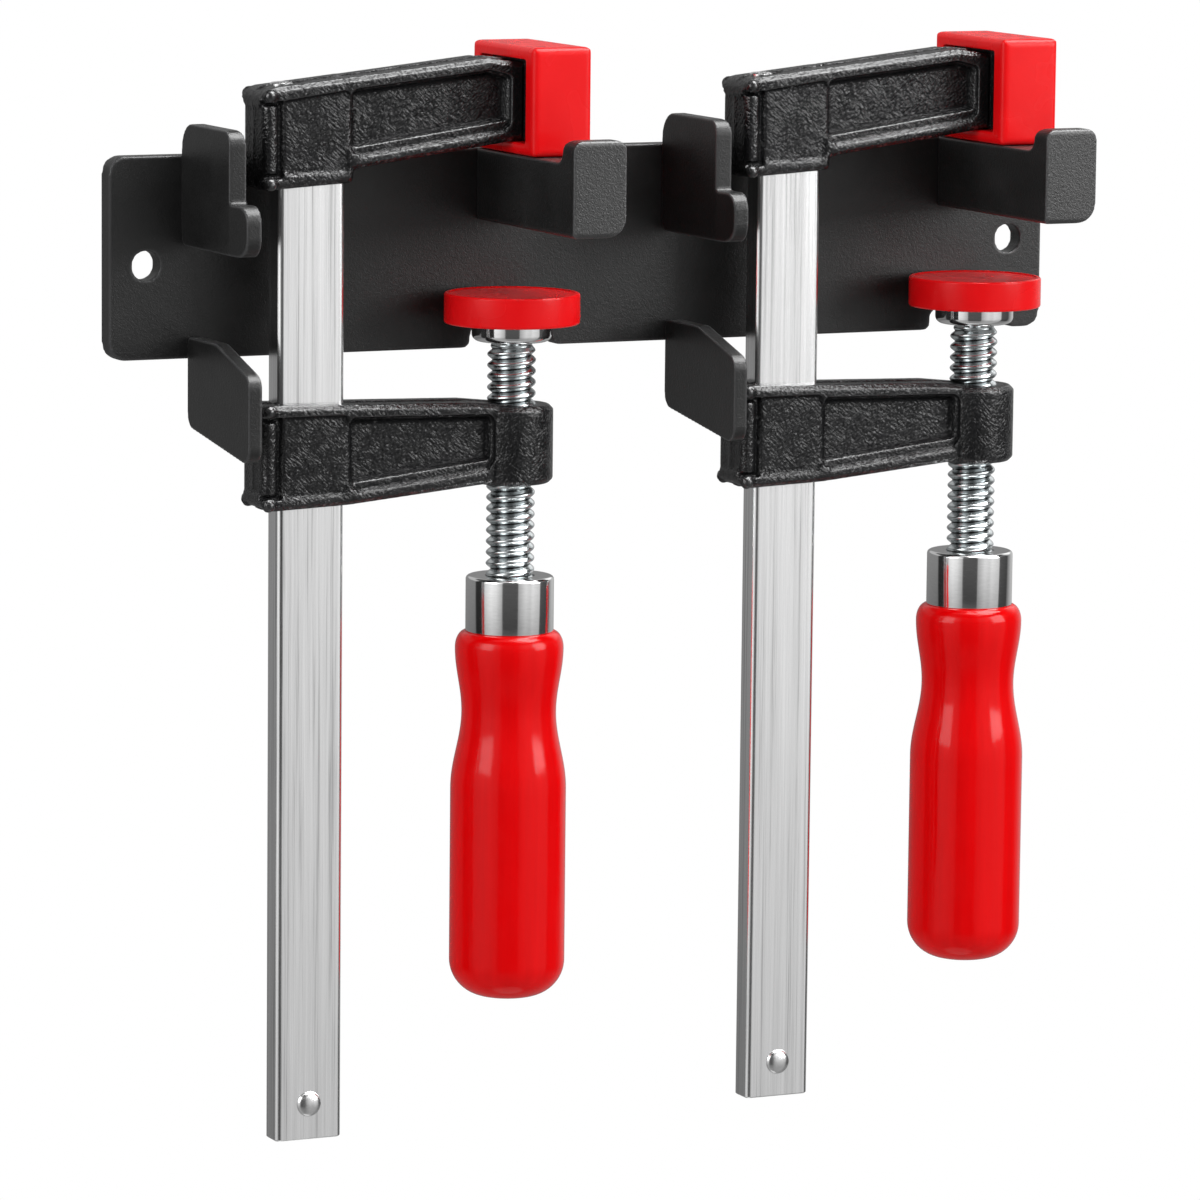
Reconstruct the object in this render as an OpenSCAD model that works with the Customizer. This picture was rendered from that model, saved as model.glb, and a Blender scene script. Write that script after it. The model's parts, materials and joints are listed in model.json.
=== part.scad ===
// Clamp rack: a steel wall plate with two stations, each holding a screw clamp.
// X runs to the right, Y into the wall and Z up. The back face lies at y = 0 and
// the two wall screws at z = 0, either side of x = 0.

/* [Wall plate] */
// Width of the plate
plate_w = 281; // [240:1:320]
// Height of the plate
plate_h = 54.5; // [50:0.5:64]
// Thickness of the plate
plate_t = 6; // [4:0.5:9]
// Radius of the plate's corners
plate_corner_r = 4.5; // [2:0.5:8]
// Distance from each end of the plate to its wall screw
screw_inset = 10.5; // [7:0.5:16]
// Diameter of the screw holes
screw_hole_d = 8; // [5:0.5:10]
// How far the screw line lies below the middle of the plate
screw_drop = 2; // [0:0.5:4]
// Width of the notch in the lower edge
low_notch_w = 24.3; // [18:0.1:28]
// Depth of the notch in the lower edge
low_notch_depth = 6; // [5.5:0.5:9]
// Width of the notch in the upper edge
top_notch_w = 13.4; // [8:0.1:30]
// Depth of the notch in the upper edge
top_notch_depth = 5; // [2.5:0.5:9]
// Radius in and outside the notches
notch_r = 2.4; // [0.5:0.1:2.6]

/* [Stations] */
// Share of the plate's spare length that lies left of the left station
left_spare_share = 0.274; // [0:0.001:0.3]
// Share of the plate's spare length that lies between the stations
gap_spare_share = 0.657; // [0.3:0.001:0.7]
// Gap between the plate and the back of the clamp
clamp_gap = 0.4; // [0.3:0.1:3]

/* [Upper tab] */
// Thickness of the tab
tab_t = 4.1; // [3:0.1:5]
// Height of the tab
tab_h = 32.8; // [28:0.1:40]
// How far the tab stands above the plate
tab_rise = 8.8; // [4:0.1:12]
// How far the tab stands out from the plate
tab_d = 34.3; // [28:0.1:40]
// Radius of the tab's rear upper corner
tab_rear_r = 7; // [3:0.5:8]
// Radius of the tab's front upper corner
tab_front_r = 4; // [2:0.5:8]
// Height of the foot below the tab
foot_h = 13.6; // [12:0.1:18]
// How far the foot stands out from the plate
foot_d = 43.3; // [41:0.1:50]
// How far the tip of the foot turns towards the clamp
foot_turn = 1.6; // [0.5:0.1:3]
// Radius along the top of the foot
foot_top_r = 4.5; // [2:0.5:6]
// Radius along the bottom of the foot
foot_low_r = 5; // [1:0.5:6]
// Gap between the tab and the clamp's jaw
tab_gap = 8.9; // [6:0.1:10]

/* [Lower tab] */
// Thickness of the lower tab
low_tab_t = 4; // [3:0.1:5]
// How far the lower tab laps over the plate
low_tab_lap = 6; // [4:0.1:9]
// How far the lower tab hangs below the plate at its rear edge
low_tab_drop = 18; // [14:0.1:24]
// How far its front corner hangs below its rear one
low_tab_slant = 6; // [2:0.1:9]
// How far the front edge starts below the top edge
low_tab_shoulder = 6.8; // [4:0.1:9]
// Length of the level part of the top edge
low_tab_level = 20; // [12:0.5:26]
// How far the lower tab stands out from the plate
low_tab_d = 44; // [38:0.1:50]
// Radius of its corners
low_tab_r = 4; // [1:0.5:5]
// Gap between the lower tab and the clamp's jaw
low_tab_gap = 7.3; // [5:0.1:9]

/* [Hook] */
// Width of the hook
hook_w = 15.5; // [12:0.1:20]
// How far the hook stands out from the plate
hook_d = 63.3; // [58:0.1:75]
// Height of the hook under its seat
hook_h = 19.6; // [14:0.1:22]
// Height of the lip above the seat
lip_h = 6.2; // [4:0.1:7]
// Thickness of the lip
lip_t = 7.5; // [5:0.1:9]
// Radius between the seat and the lip
seat_fillet_r = 3.5; // [1:0.5:4]
// Radius of the lip's inner upper edge
lip_inner_r = 2.5; // [1:0.5:3]
// Radius of the hook's front edges
hook_edge_r = 1.2; // [0.5:0.1:1.5]
// Radius of the upper corners of the hook's face
hook_top_r = 3; // [1:0.5:3.5]
// Radius of the lower right corner of the hook's face
hook_low_r = 5.5; // [1:0.5:6]
// How far the seat lies above the top of the plate
seat_rise = 0.1; // [0.1:0.1:2]

/* [Clamp bar] */
// Width of the bar
bar_w = 19; // [16:0.5:22]
// Thickness of the bar
bar_t = 8; // [6:0.5:9]
// Length of the bar below the hook's seat
bar_drop = 265.5; // [220:0.1:300]
// Chamfer along the bar's edges
bar_chamfer = 0.8; // [0.3:0.1:1.2]
// Diameter of the peened tenon on top of the bar
tenon_d = 6.6; // [5:0.1:7.5]
// Diameter of the stop rivet's heads
rivet_d = 6.9; // [6:0.1:8]
// Diameter of the stop rivet's shank
rivet_shank_d = 5; // [3:0.1:5.5]
// Height of the stop rivet's heads
rivet_head_h = 1.5; // [0.8:0.1:2]
// Distance from the rivet to the end of the bar
rivet_inset = 9.8; // [7:0.1:16]

/* [Jaws] */
// Distance from the middle of the bar to the spindle
reach = 60; // [56:0.5:64]
// Thickness of both jaws
jaw_t = 16; // [14:0.5:18]
// Wall of both jaws outside the bar
jaw_wall = 5.8; // [4.5:0.1:7]
// Width of the raised rim round the jaws' panels
rim_w = 3.2; // [2:0.1:4]
// Height of the rim under the panels
low_rim_w = 3.9; // [3:0.1:4.5]
// Width of the bevel on top of that rim
bevel_w = 1.4; // [0.6:0.1:2]
// Radius of the castings' outer corners
jaw_corner_r = 3.4; // [2:0.1:4.5]
// Diameter of the rounded rib down the castings' outer edges
rib_d = 4.4; // [3:0.1:5]
// Width of the groove beside that rib
rib_groove_w = 1.2; // [0.6:0.1:1.8]
// Softened edge of the castings
jaw_edge = 1.3; // [0.6:0.1:1.6]
// Diameter of the knobs at the outer corners of the castings
knob_d = 3.2; // [2:0.1:4]
// Height of the raised line where the moulds met
seam_h = 0.35; // [0.2:0.05:0.5]
// How far the flanges at the jaws' ends stand out
flange_out = 0.8; // [0.4:0.1:1.5]
// Depth of the shallow panel over the bar
shallow_depth = 0.8; // [0.4:0.1:1.5]
// Depth of the long panel in each arm
deep_depth = 3.4; // [2:0.1:4]
// Sloped wall round the long panels
panel_draft = 1.5; // [0.6:0.1:2]
// Depth of the ledge under the long panels
ledge_depth = 1.3; // [0.6:0.1:1.8]
// Height of the ledge under the long panels
ledge_h = 1.1; // [0.6:0.1:2]

/* [Fixed jaw] */
// Height of the head at its outer side
head_h = 26.9; // [24:0.1:30]
// How far the head's outer lower corner lies below the seat
head_sink = 8.1; // [5:0.1:10]
// Width of the head's foot beyond the bar
head_toe = 1.2; // [0.8:0.1:3]
// Rise of the top edge from the head to its peak
arm_rise = 7.1; // [4:0.1:9]
// Height of the arm where it enters the cap
arm_tip_h = 21; // [18:0.1:21.2]
// How far the arm's root lies below the seat
arm_root_sink = 2.9; // [0.5:0.1:4]

/* [Fixed jaw cap] */
// Width of the cap along the arm
cap_w = 17.4; // [14:0.1:20]
// Depth of the cap away from the wall
cap_d = 40.4; // [34:0.1:44]
// Height of the cap
cap_h = 29.2; // [28.2:0.1:32]
// Wall of the cap above, below and beyond the arm
cap_wall = 3.4; // [2.6:0.1:3.6]
// Wall of the cap in front of the arm and behind it
cap_side_wall = 5.2; // [3:0.1:6]
// Radius of the cap's edges
cap_r = 1.8; // [0.8:0.1:2.4]
// How far the cap's middle lies beyond the spindle
cap_offset = 5.3; // [3:0.1:7]

/* [Sliding jaw] */
// How far the sliding jaws lie below the seat
jaw_drop = 65.1; // [60:0.1:90]
// Height of the sliding jaw at the bar
slide_h = 28.5; // [26:0.1:34]
// Height of the boss round the spindle
boss_h = 21.4; // [18:0.1:24]
// Diameter of the boss
boss_d = 22.8; // [20:0.1:24]
// Fall of the top edge towards the boss
top_fall = 2.9; // [0:0.1:4]
// Sideways play of the bar in the sliding jaw
slide_play = 0.2; // [0.1:0.05:0.4]

/* [Spindle] */
// Outside diameter of the spindle
spindle_d = 13.2; // [11:0.1:14]
// Distance from the sliding jaw's top to the top of the thread
spindle_out = 13.3; // [8:0.1:20]
// Visible length of thread from its top to the ferrule
thread_len = 63.1; // [55:0.1:80]
// Diameter of the ball under the pad
ball_d = 9; // [7.5:0.1:9.6]
// Diameter of the ball's stud
stud_d = 5.2; // [4:0.1:5.6]
// Length of the stud inside the spindle
stud_len = 8; // [5:0.5:14]
// Radial play between turning pieces
play = 0.05; // [0.02:0.01:0.08]

/* [Swivel foot] */
// Diameter of the red pad
pad_d = 36.8; // [33:0.1:40]
// Height of the red pad
pad_h = 7.4; // [6.5:0.1:9]
// Wall of the red pad
pad_wall = 2; // [1.2:0.1:2.4]
// Diameter of the foot's collar
collar_d = 21.8; // [19:0.1:24]
// Height of the foot's collar under the pad
collar_h = 5.1; // [4.6:0.1:6]
// Gap between the collar and the spindle, for the tilt
tilt_gap = 0.8; // [0.7:0.05:1]

/* [Handle] */
// Diameter of the ferrule
ferrule_d = 24; // [22:0.1:26]
// Length of the ferrule
ferrule_len = 15.2; // [12:0.1:20]
// Wall of the ferrule
ferrule_wall = 1; // [0.8:0.1:1.4]
// Length of the wooden handle below the ferrule
handle_len = 100.7; // [85:0.1:120]
// Largest diameter of the handle
handle_d = 31.5; // [29:0.1:36]
// Diameter of the handle's shoulder
shoulder_d = 29; // [27:0.1:30]
// Diameter of the handle's waist
waist_d = 25.7; // [24:0.1:27]
// Radius at the bottom of the handle
handle_end_r = 10; // [5:0.5:13]
// Length of the spindle's tang inside the handle
tang_len = 48; // [30:1:60]
// Diameter of the spindle's tang
tang_d = 9; // [7:0.1:10]

/* [Hidden] */

// Roundness of true cylinders and of the drawn arcs
$fn = 64;
arc_steps = 6;
// Overrun of every cut
cut = 1;
// Gap between faces that lie on each other
seat_gap = 0.1;

plate_top = plate_h / 2 + screw_drop;
plate_bottom = screw_drop - plate_h / 2;
plate_front = -plate_t;
clamp_y = plate_front - clamp_gap - pad_d / 2;
seat_z = plate_top + seat_rise;
clamp_z = seat_z + seat_gap;
jaw_side = bar_w / 2 + jaw_wall;
cap_x = reach + cap_offset;
cap_left = cap_x - cap_w / 2;

// Each station takes its own width of plate, and the rest is spare
screw_pitch = plate_w - 2 * screw_inset;
low_notch_x = cap_x + low_notch_w / 8;
station_left = jaw_side + max(tab_gap + tab_t, low_tab_gap + low_tab_t);
station_right = low_notch_x + low_notch_w / 2;
plate_margin = plate_corner_r + notch_r;
spare = plate_w - 2 * (plate_margin + station_left + station_right);
first_x = plate_margin + station_left + spare * left_spare_share - plate_w / 2;
station_x = [first_x, first_x + station_left + station_right + spare * gap_spare_share];

// Points of an arc that rounds the corner b between a and c
function unit(v) = v / norm(v);
function turn(from, to) = (to - from + 540) % 360 - 180;
function corner(a, b, c, r) =
    let (
        ua = unit(a - b), uc = unit(c - b),
        half = acos(max(-1, min(1, ua * uc))) / 2,
        centre = b + unit(ua + uc) * r / sin(half),
        first = b + ua * r / tan(half) - centre,
        last = b + uc * r / tan(half) - centre,
        start = atan2(first[1], first[0]),
        sweep = turn(start, atan2(last[1], last[0]))
    )
    [for (i = [0 : arc_steps])
        let (angle = start + sweep * i / arc_steps)
        centre + r * [cos(angle), sin(angle)]];

// Outline whose corners are given as [across, up, radius]
function point(p) = [p[0], p[1]];
function rounded(list) = [
    for (i = [0 : len(list) - 1])
        let (last = list[(i + len(list) - 1) % len(list)], this = list[i], next = list[(i + 1) % len(list)])
        each (this[2] == 0 ? [point(this)] : corner(point(last), point(this), point(next), this[2]))
];
function box_outline(x0, z0, x1, z1, r) = rounded([[x0, z0, r], [x1, z0, r], [x1, z1, r], [x0, z1, r]]);

// Slab standing in the XZ plane, centred on y = 0
module slab(outline, t) {
    rotate([90, 0, 0]) linear_extrude(t, center = true) polygon(outline);
}

// Slab standing in the YZ plane, from x = 0 to t, its outline measured forward from y = 0
module side_slab(outline, t) {
    rotate([90, 0, -90]) mirror([0, 0, 1]) linear_extrude(t) polygon(outline);
}

// Slab with softened edges, for a convex outline
module soft_slab(outline, t, edge) {
    hull() {
        slab(outline, t - 2 * edge);
        rotate([90, 0, 0]) linear_extrude(t, center = true) offset(delta = -edge) polygon(outline);
    }
}

// Recess with upright walls, cut into the face at y = -t / 2
module recess(outline, t, depth) {
    translate([0, (depth - t - cut) / 2, 0]) slab(outline, depth + cut);
}

// Pocket with sloped walls, cut into the same face
module pocket(outline, t, depth, draft) {
    hull() {
        translate([0, -t / 2 - cut / 2, 0]) slab(outline, cut);
        translate([0, -t / 2 + depth / 2, 0])
            rotate([90, 0, 0]) linear_extrude(depth, center = true) offset(delta = -draft) polygon(outline);
    }
}

// Sloped cut along the straight lower edge of a recess, between two points of that edge
module bevel(from, to, t, depth) {
    run = to - from;
    translate([from[0], -t / 2, from[1]])
        rotate([0, -atan2(run[1], run[0]), 0])
        rotate([90, 0, 90])
        linear_extrude(norm(run))
        polygon([[-cut, -bevel_w], [0, -bevel_w], [depth, 0], [depth, cut], [-cut, cut]]);
}

// Points near the two ends of an edge, clear of its rounded corners
end_shares = [0.05, 0.97];
function near_ends(a, b) = [for (share = end_shares) a + (b - a) * share];

module both_faces() {
    children();
    mirror([0, 1, 0]) children();
}

// Raised line round a casting's middle, where its two moulds met
module seam(outlines) {
    rotate([90, 0, 0]) linear_extrude(seam_h * 3, center = true)
        offset(delta = seam_h) for (outline = outlines) polygon(outline);
}

// Small round knobs above and below a casting's outer ribs
knob_x = -jaw_side + rim_w / 2;
module knobs(low, high) {
    for (z = [low + rim_w / 2, high - rim_w / 2])
        both_faces() translate([knob_x, -jaw_t / 2 + knob_d / 4, z]) sphere(d = knob_d);
}

// Channel down both outer edges of a casting, and the rounded rib that stands in it
rib_x = -jaw_side + rib_d / 2;
rib_y = -jaw_t / 2 + rib_d / 2;
module rib_channel(low, high) {
    both_faces() translate([-jaw_side - cut, -jaw_t / 2 - cut, low + rim_w])
        cube([cut + rib_d + rib_groove_w, cut + rib_d / 2, high - low - 2 * rim_w]);
}
module ribs(low, high) {
    both_faces() translate([rib_x, rib_y, low + rim_w + rib_groove_w])
        cylinder(d = rib_d, h = high - low - 2 * (rim_w + rib_groove_w));
}

// Wall plate with its two screw holes, a notch under each hook and one on top
function notch(mid, edge, w, depth) = [
    [mid - w / 2, edge, notch_r],
    [mid - w / 2, edge + depth, notch_r],
    [mid + w / 2, edge + depth, notch_r],
    [mid + w / 2, edge, notch_r]
];
function reversed(list) = [for (i = [1 : len(list)]) list[len(list) - i]];
plate_outline = rounded([
    [-plate_w / 2, plate_bottom, plate_corner_r],
    each notch(station_x[0] + low_notch_x, plate_bottom, low_notch_w, low_notch_depth),
    each notch(station_x[1] + low_notch_x, plate_bottom, low_notch_w, low_notch_depth),
    [plate_w / 2, plate_bottom, plate_corner_r],
    [plate_w / 2, plate_top, plate_corner_r],
    each reversed(notch(0, plate_top, top_notch_w, -top_notch_depth)),
    [-plate_w / 2, plate_top, plate_corner_r]
]);

module wall_plate() {
    color("#2b2b2d")
    difference() {
        translate([0, -plate_t / 2, 0]) slab(plate_outline, plate_t);
        for (side = [-1, 1])
            translate([side * screw_pitch / 2, cut, 0])
                rotate([90, 0, 0]) cylinder(d = screw_hole_d, h = plate_t + 2 * cut);
    }
}

// Upper tab: a rounded plate on edge whose foot reaches further forward
foot_step_r = min(tab_t, foot_h) / 4;
tab_bottom = plate_top + tab_rise - tab_h;
tab_profile = rounded([
    [0, tab_bottom, foot_step_r * 3],
    [foot_d, tab_bottom, foot_low_r],
    [foot_d, tab_bottom + foot_h, foot_top_r],
    [tab_d, tab_bottom + foot_h, foot_step_r],
    [tab_d, tab_bottom + tab_h, tab_front_r],
    [0, tab_bottom + tab_h, tab_rear_r]
]);
// Seen from above, the tip of the foot turns towards the clamp
foot_bend = foot_d - tab_d;
tab_plan = rounded([
    [0, cut, 0],
    [0, -tab_d, foot_bend / 2],
    [foot_turn, -foot_d - foot_turn / 2, 0],
    [tab_t + foot_turn, -foot_d - foot_turn / 2, 0],
    [tab_t + foot_turn, -tab_d - foot_bend / 3, foot_bend / 4],
    [tab_t, -tab_d + foot_bend / 3, foot_bend / 4],
    [tab_t, cut, 0]
]);

module upper_tab() {
    color("#2b2b2d")
    translate([-jaw_side - tab_gap - tab_t, plate_front, 0])
    intersection() {
        side_slab(tab_profile, tab_t + foot_turn);
        translate([0, 0, tab_bottom - cut]) linear_extrude(tab_h + 2 * cut) polygon(tab_plan);
    }
}

// Lower tab: a slanted plate that starts on the wall plate and hangs below it
low_tab_top = plate_bottom + low_tab_lap;
low_tab_rear = plate_bottom - low_tab_drop;
low_tab_profile = rounded([
    [0, low_tab_rear, low_tab_r],
    [low_tab_d, low_tab_rear - low_tab_slant, low_tab_r],
    [low_tab_d, low_tab_top - low_tab_shoulder, low_tab_r],
    [low_tab_level, low_tab_top, low_tab_r],
    [0, low_tab_top, low_tab_r / 2]
]);

module lower_tab() {
    color("#2b2b2d")
    translate([-jaw_side - low_tab_gap - low_tab_t, plate_front, 0])
        side_slab(low_tab_profile, low_tab_t);
}

// Hook: a block with a seat and a raised lip, its face rounded at the corners
hook_profile = rounded([
    [0, -hook_h, 0],
    [hook_d, -hook_h, hook_edge_r],
    [hook_d, lip_h, hook_edge_r],
    [hook_d - lip_t, lip_h, lip_inner_r],
    [hook_d - lip_t, 0, seat_fillet_r],
    [0, 0, 0]
]);
hook_face = rounded([
    [0, -hook_h, hook_edge_r],
    [hook_w, -hook_h, hook_low_r],
    [hook_w, lip_h, hook_top_r],
    [0, lip_h, hook_top_r]
]);

module hook() {
    color("#2b2b2d")
    translate([cap_x - hook_w / 2, plate_front, seat_z])
    intersection() {
        side_slab(hook_profile, hook_w);
        translate([0, -hook_d / 2, 0]) slab(hook_face, hook_d + 2 * cut);
    }
}

// Fixed jaw, drawn round the bar's middle with z = 0 at the seat.
// Its head holds the bar and its arm rises to the pressure head inside the cap.
head_bottom = -head_sink;
head_right = bar_w / 2 + head_toe;
head_tilt = head_sink / 5;
head_top = head_h + head_bottom;
arm_peak_x = cap_left - jaw_wall - jaw_edge;
arm_top = head_top + arm_rise;
arm_tip_top = cap_wall + arm_tip_h;
cavity_h = cap_h - 2 * cap_wall;
cavity_d = cap_d - 2 * cap_side_wall;
top_slope = arm_rise / (arm_peak_x + jaw_side);
function jaw_top_at(x) = head_top + top_slope * (x + jaw_side);
press_d = cavity_d - 2 * seat_gap;
press_h = cavity_h - 2 * seat_gap;
press_x = cap_left + cap_wall;
press_right = cap_x + cap_w / 2 - cap_wall;
arm_low_slope = (cap_wall + seat_gap + arm_root_sink) / (cap_left - head_right);
function arm_low_at(x) = cap_wall + seat_gap - arm_low_slope * (cap_left - x);

head_outline = rounded([
    [-jaw_side, head_bottom, jaw_corner_r / 2],
    [head_right, head_bottom + head_tilt, jaw_wall / 4],
    [head_right, jaw_top_at(head_right), 0],
    [-jaw_side, head_top, jaw_corner_r]
]);
arm_outline = rounded([
    [0, arm_low_at(0), 0],
    [press_x, arm_low_at(press_x), 0],
    [press_x, arm_tip_top, 0],
    [arm_peak_x, arm_top, 0],
    [0, jaw_top_at(0) - seat_gap, 0]
]);
// The part of the arm outside the cap
bare_arm_outline = rounded([
    [0, arm_low_at(0), 0],
    [cap_left - 2 * seam_h, arm_low_at(cap_left), 0],
    [cap_left - 2 * seam_h, arm_top - jaw_edge / 2, 0],
    [arm_peak_x, arm_top, 0],
    [0, jaw_top_at(0), 0]
]);
// Fillet where the arm leaves the head
step_r = rim_w;
step_outline = rounded([
    [head_right - step_r, head_bottom + head_tilt + step_r, 0],
    [head_right - seat_gap, head_bottom + head_tilt + step_r, step_r / 2],
    [head_right + step_r, arm_low_at(head_right + step_r) + seat_gap, 0],
    [head_right + step_r, 0, 0],
    [head_right - step_r, 0, 0]
]);
flange_h = jaw_corner_r + 2 * flange_out;
top_flange = rounded([
    [-jaw_side - flange_out, head_top - flange_h, flange_out],
    [0, head_top - flange_h, 0],
    [0, jaw_top_at(0), 0],
    [-jaw_side - flange_out, head_top - flange_out / 2, jaw_corner_r]
]);
// The two panels in each face of the fixed jaw
panel_split = bar_w / 2 - seat_gap;
panel_left = -jaw_side + rib_d + rib_groove_w / 2;
head_panel_edge = [
    [panel_left, head_bottom + low_rim_w + head_tilt / 2],
    [panel_split, head_bottom + low_rim_w + head_tilt]
];
head_panel = rounded([
    concat(head_panel_edge[0], rim_w / 2),
    concat(head_panel_edge[1], rim_w / 4),
    [panel_split, jaw_top_at(panel_split) - rim_w, rim_w / 2],
    [panel_left, head_top - rim_w, rim_w / 2]
]);
arm_panel_edge = [for (x = [panel_split, cap_left - rim_w / 4]) [x, arm_low_at(x) + low_rim_w]];
function arm_panel(low_rim) = rounded([
    [panel_split, arm_low_at(panel_split) + low_rim, rim_w / 2],
    [cap_left - rim_w / 4, arm_low_at(cap_left) + low_rim, rim_w / 2],
    [cap_left - rim_w / 4, arm_tip_top - rim_w, rim_w / 2],
    [arm_peak_x, arm_top - rim_w, 0],
    [panel_split, jaw_top_at(panel_split) - rim_w, rim_w * 0.75]
]);
tenon_x = -bar_w / 2 + tenon_d / 2 + jaw_edge;
tenon_top = jaw_top_at(tenon_x) + seat_gap * 3;
bar_top = head_top - jaw_wall / 2;

module casting_bevel(edge, depth) {
    ends = near_ends(edge[0], edge[1]);
    bevel(ends[0], ends[1], jaw_t, depth);
}

module fixed_jaw() {
    color("#1e1e1f")
    difference() {
        union() {
            difference() {
                union() {
                    soft_slab(head_outline, jaw_t, jaw_edge);
                    soft_slab(arm_outline, jaw_t, jaw_edge);
                    soft_slab(top_flange, jaw_t, jaw_edge);
                    slab(step_outline, jaw_t - 2 * jaw_edge);
                    seam([head_outline, bare_arm_outline]);
                }
                rib_channel(head_bottom, head_top);
            }
            ribs(head_bottom, head_top);
            knobs(head_bottom, head_top);
            translate([press_x, press_d / 2, cap_wall + seat_gap])
                side_slab(box_outline(0, 0, press_d, press_h, cap_r / 2), press_right - press_x);
        }
        both_faces() {
            recess(head_panel, jaw_t, shallow_depth);
            casting_bevel(head_panel_edge, shallow_depth);
            recess(arm_panel(low_rim_w), jaw_t, ledge_depth);
            casting_bevel(arm_panel_edge, ledge_depth);
            pocket(arm_panel(low_rim_w + ledge_h), jaw_t, deep_depth, panel_draft);
        }
        translate([-bar_w / 2 - play, -bar_t / 2 - play, head_bottom - cut])
            cube([bar_w + 2 * play, bar_t + 2 * play, bar_top - head_bottom + cut + play]);
        translate([tenon_x, 0, bar_top - cut]) cylinder(d = tenon_d + 2 * play, h = jaw_wall * 2);
        translate([bar_w / 2, 0, jaw_top_at(bar_w / 2) - shallow_depth])
            cylinder(d = tenon_d / 3, h = jaw_wall);
    }
}

// Bar with chamfered edges and the tenon that is peened over the head
module bar() {
    w = bar_w / 2;
    t = bar_t / 2;
    c = bar_chamfer;
    front = [[c - w, -t], [w - c, -t], [w, c - t]];
    back = [[w, t - c], [w - c, t], [c - w, t]];
    color("#c9cacc") {
        translate([0, 0, -bar_drop]) linear_extrude(bar_drop + bar_top)
            polygon(concat(front, back, [[-w, t - c], [-w, c - t]]));
        translate([tenon_x, 0, bar_top - cut]) cylinder(d = tenon_d, h = tenon_top - bar_top + cut);
    }
}

// Stop rivet through the bar, which keeps the sliding jaw on it
rivet_z = rivet_inset - bar_drop;
module stop_rivet() {
    ball_r = (pow(rivet_d / 2, 2) + pow(rivet_head_h, 2)) / (2 * rivet_head_h);
    color("#dcdddf")
    translate([0, 0, rivet_z]) {
        rotate([90, 0, 0]) cylinder(d = rivet_shank_d, h = bar_t, center = true);
        both_faces() intersection() {
            translate([0, -bar_t / 2 - rivet_head_h + ball_r, 0]) sphere(r = ball_r);
            translate([0, -bar_t / 2, 0]) rotate([90, 0, 0]) cylinder(d = rivet_d, h = rivet_head_h + cut);
        }
    }
}

module drilled_bar() {
    difference() {
        bar();
        translate([0, 0, rivet_z]) rotate([90, 0, 0])
            cylinder(d = rivet_shank_d, h = bar_t + 2 * cut, center = true);
    }
}

// Red cap that slides over the pressure head, open towards the bar
module fixed_jaw_cap() {
    color("#cf0a12")
    translate([cap_left, 0, 0])
    difference() {
        intersection() {
            slab(box_outline(0, 0, cap_w, cap_h, cap_r), cap_d);
            translate([0, cap_d / 2, 0]) side_slab(box_outline(0, 0, cap_d, cap_h, cap_r), cap_w);
            linear_extrude(cap_h)
                polygon(box_outline(0, -cap_d / 2, cap_w, cap_d / 2, cap_r));
        }
        translate([-cut, cavity_d / 2, cap_wall])
            side_slab(box_outline(0, 0, cavity_d, cavity_h, cap_r / 2), cap_w - cap_wall + cut);
    }
}

// Sliding jaw, drawn with z = 0 at its upper outer corner
boss_top = -top_fall;
boss_bottom = boss_top - boss_h;
boss_face_d = boss_d - 2 * jaw_edge;
slide_bottom = -slide_h;
low_knee_z = slide_bottom + jaw_wall / 6;
root_x = reach - boss_d * 0.6;
root_top = -top_fall / 2;
slide_outline = rounded([
    [-jaw_side, slide_bottom, jaw_corner_r],
    [bar_w / 2, low_knee_z, 0],
    [reach, boss_bottom + rim_w / 2, 0],
    [reach, boss_top, 0],
    [root_x, root_top, 0],
    [-jaw_side, 0, jaw_wall / 4]
]);
slide_slope = (low_knee_z - slide_bottom) / (jaw_side + bar_w / 2);
low_flange = rounded([
    [-jaw_side - flange_out, slide_bottom + flange_out / 2, jaw_corner_r],
    [0, slide_bottom + slide_slope * jaw_side + seat_gap, 0],
    [0, slide_bottom + flange_h, 0],
    [-jaw_side - flange_out, slide_bottom + flange_h, flange_out]
]);
panel_end = reach - sqrt(pow(boss_d / 2, 2) - pow(jaw_t / 2, 2));
slide_head_edge = [
    [panel_left, slide_bottom + low_rim_w + slide_slope * (panel_left + jaw_side)],
    [panel_split, low_knee_z + low_rim_w]
];
slide_head_panel = rounded([
    concat(slide_head_edge[0], rim_w / 2),
    concat(slide_head_edge[1], rim_w / 4),
    [panel_split, -rim_w, rim_w / 2],
    [panel_left, -rim_w, rim_w / 2]
]);
slide_panel_edge = [
    [panel_split, low_knee_z + low_rim_w],
    [panel_end, boss_bottom + rim_w / 2 + low_rim_w]
];
function slide_panel(low_rim) = rounded([
    [panel_split, low_knee_z + low_rim, rim_w / 2],
    [panel_end, boss_bottom + rim_w / 2 + low_rim, rim_w * 0.75],
    [panel_end, root_top - rim_w, rim_w * 0.75],
    [panel_split, root_top / 2 - rim_w, rim_w * 0.75]
]);

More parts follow.
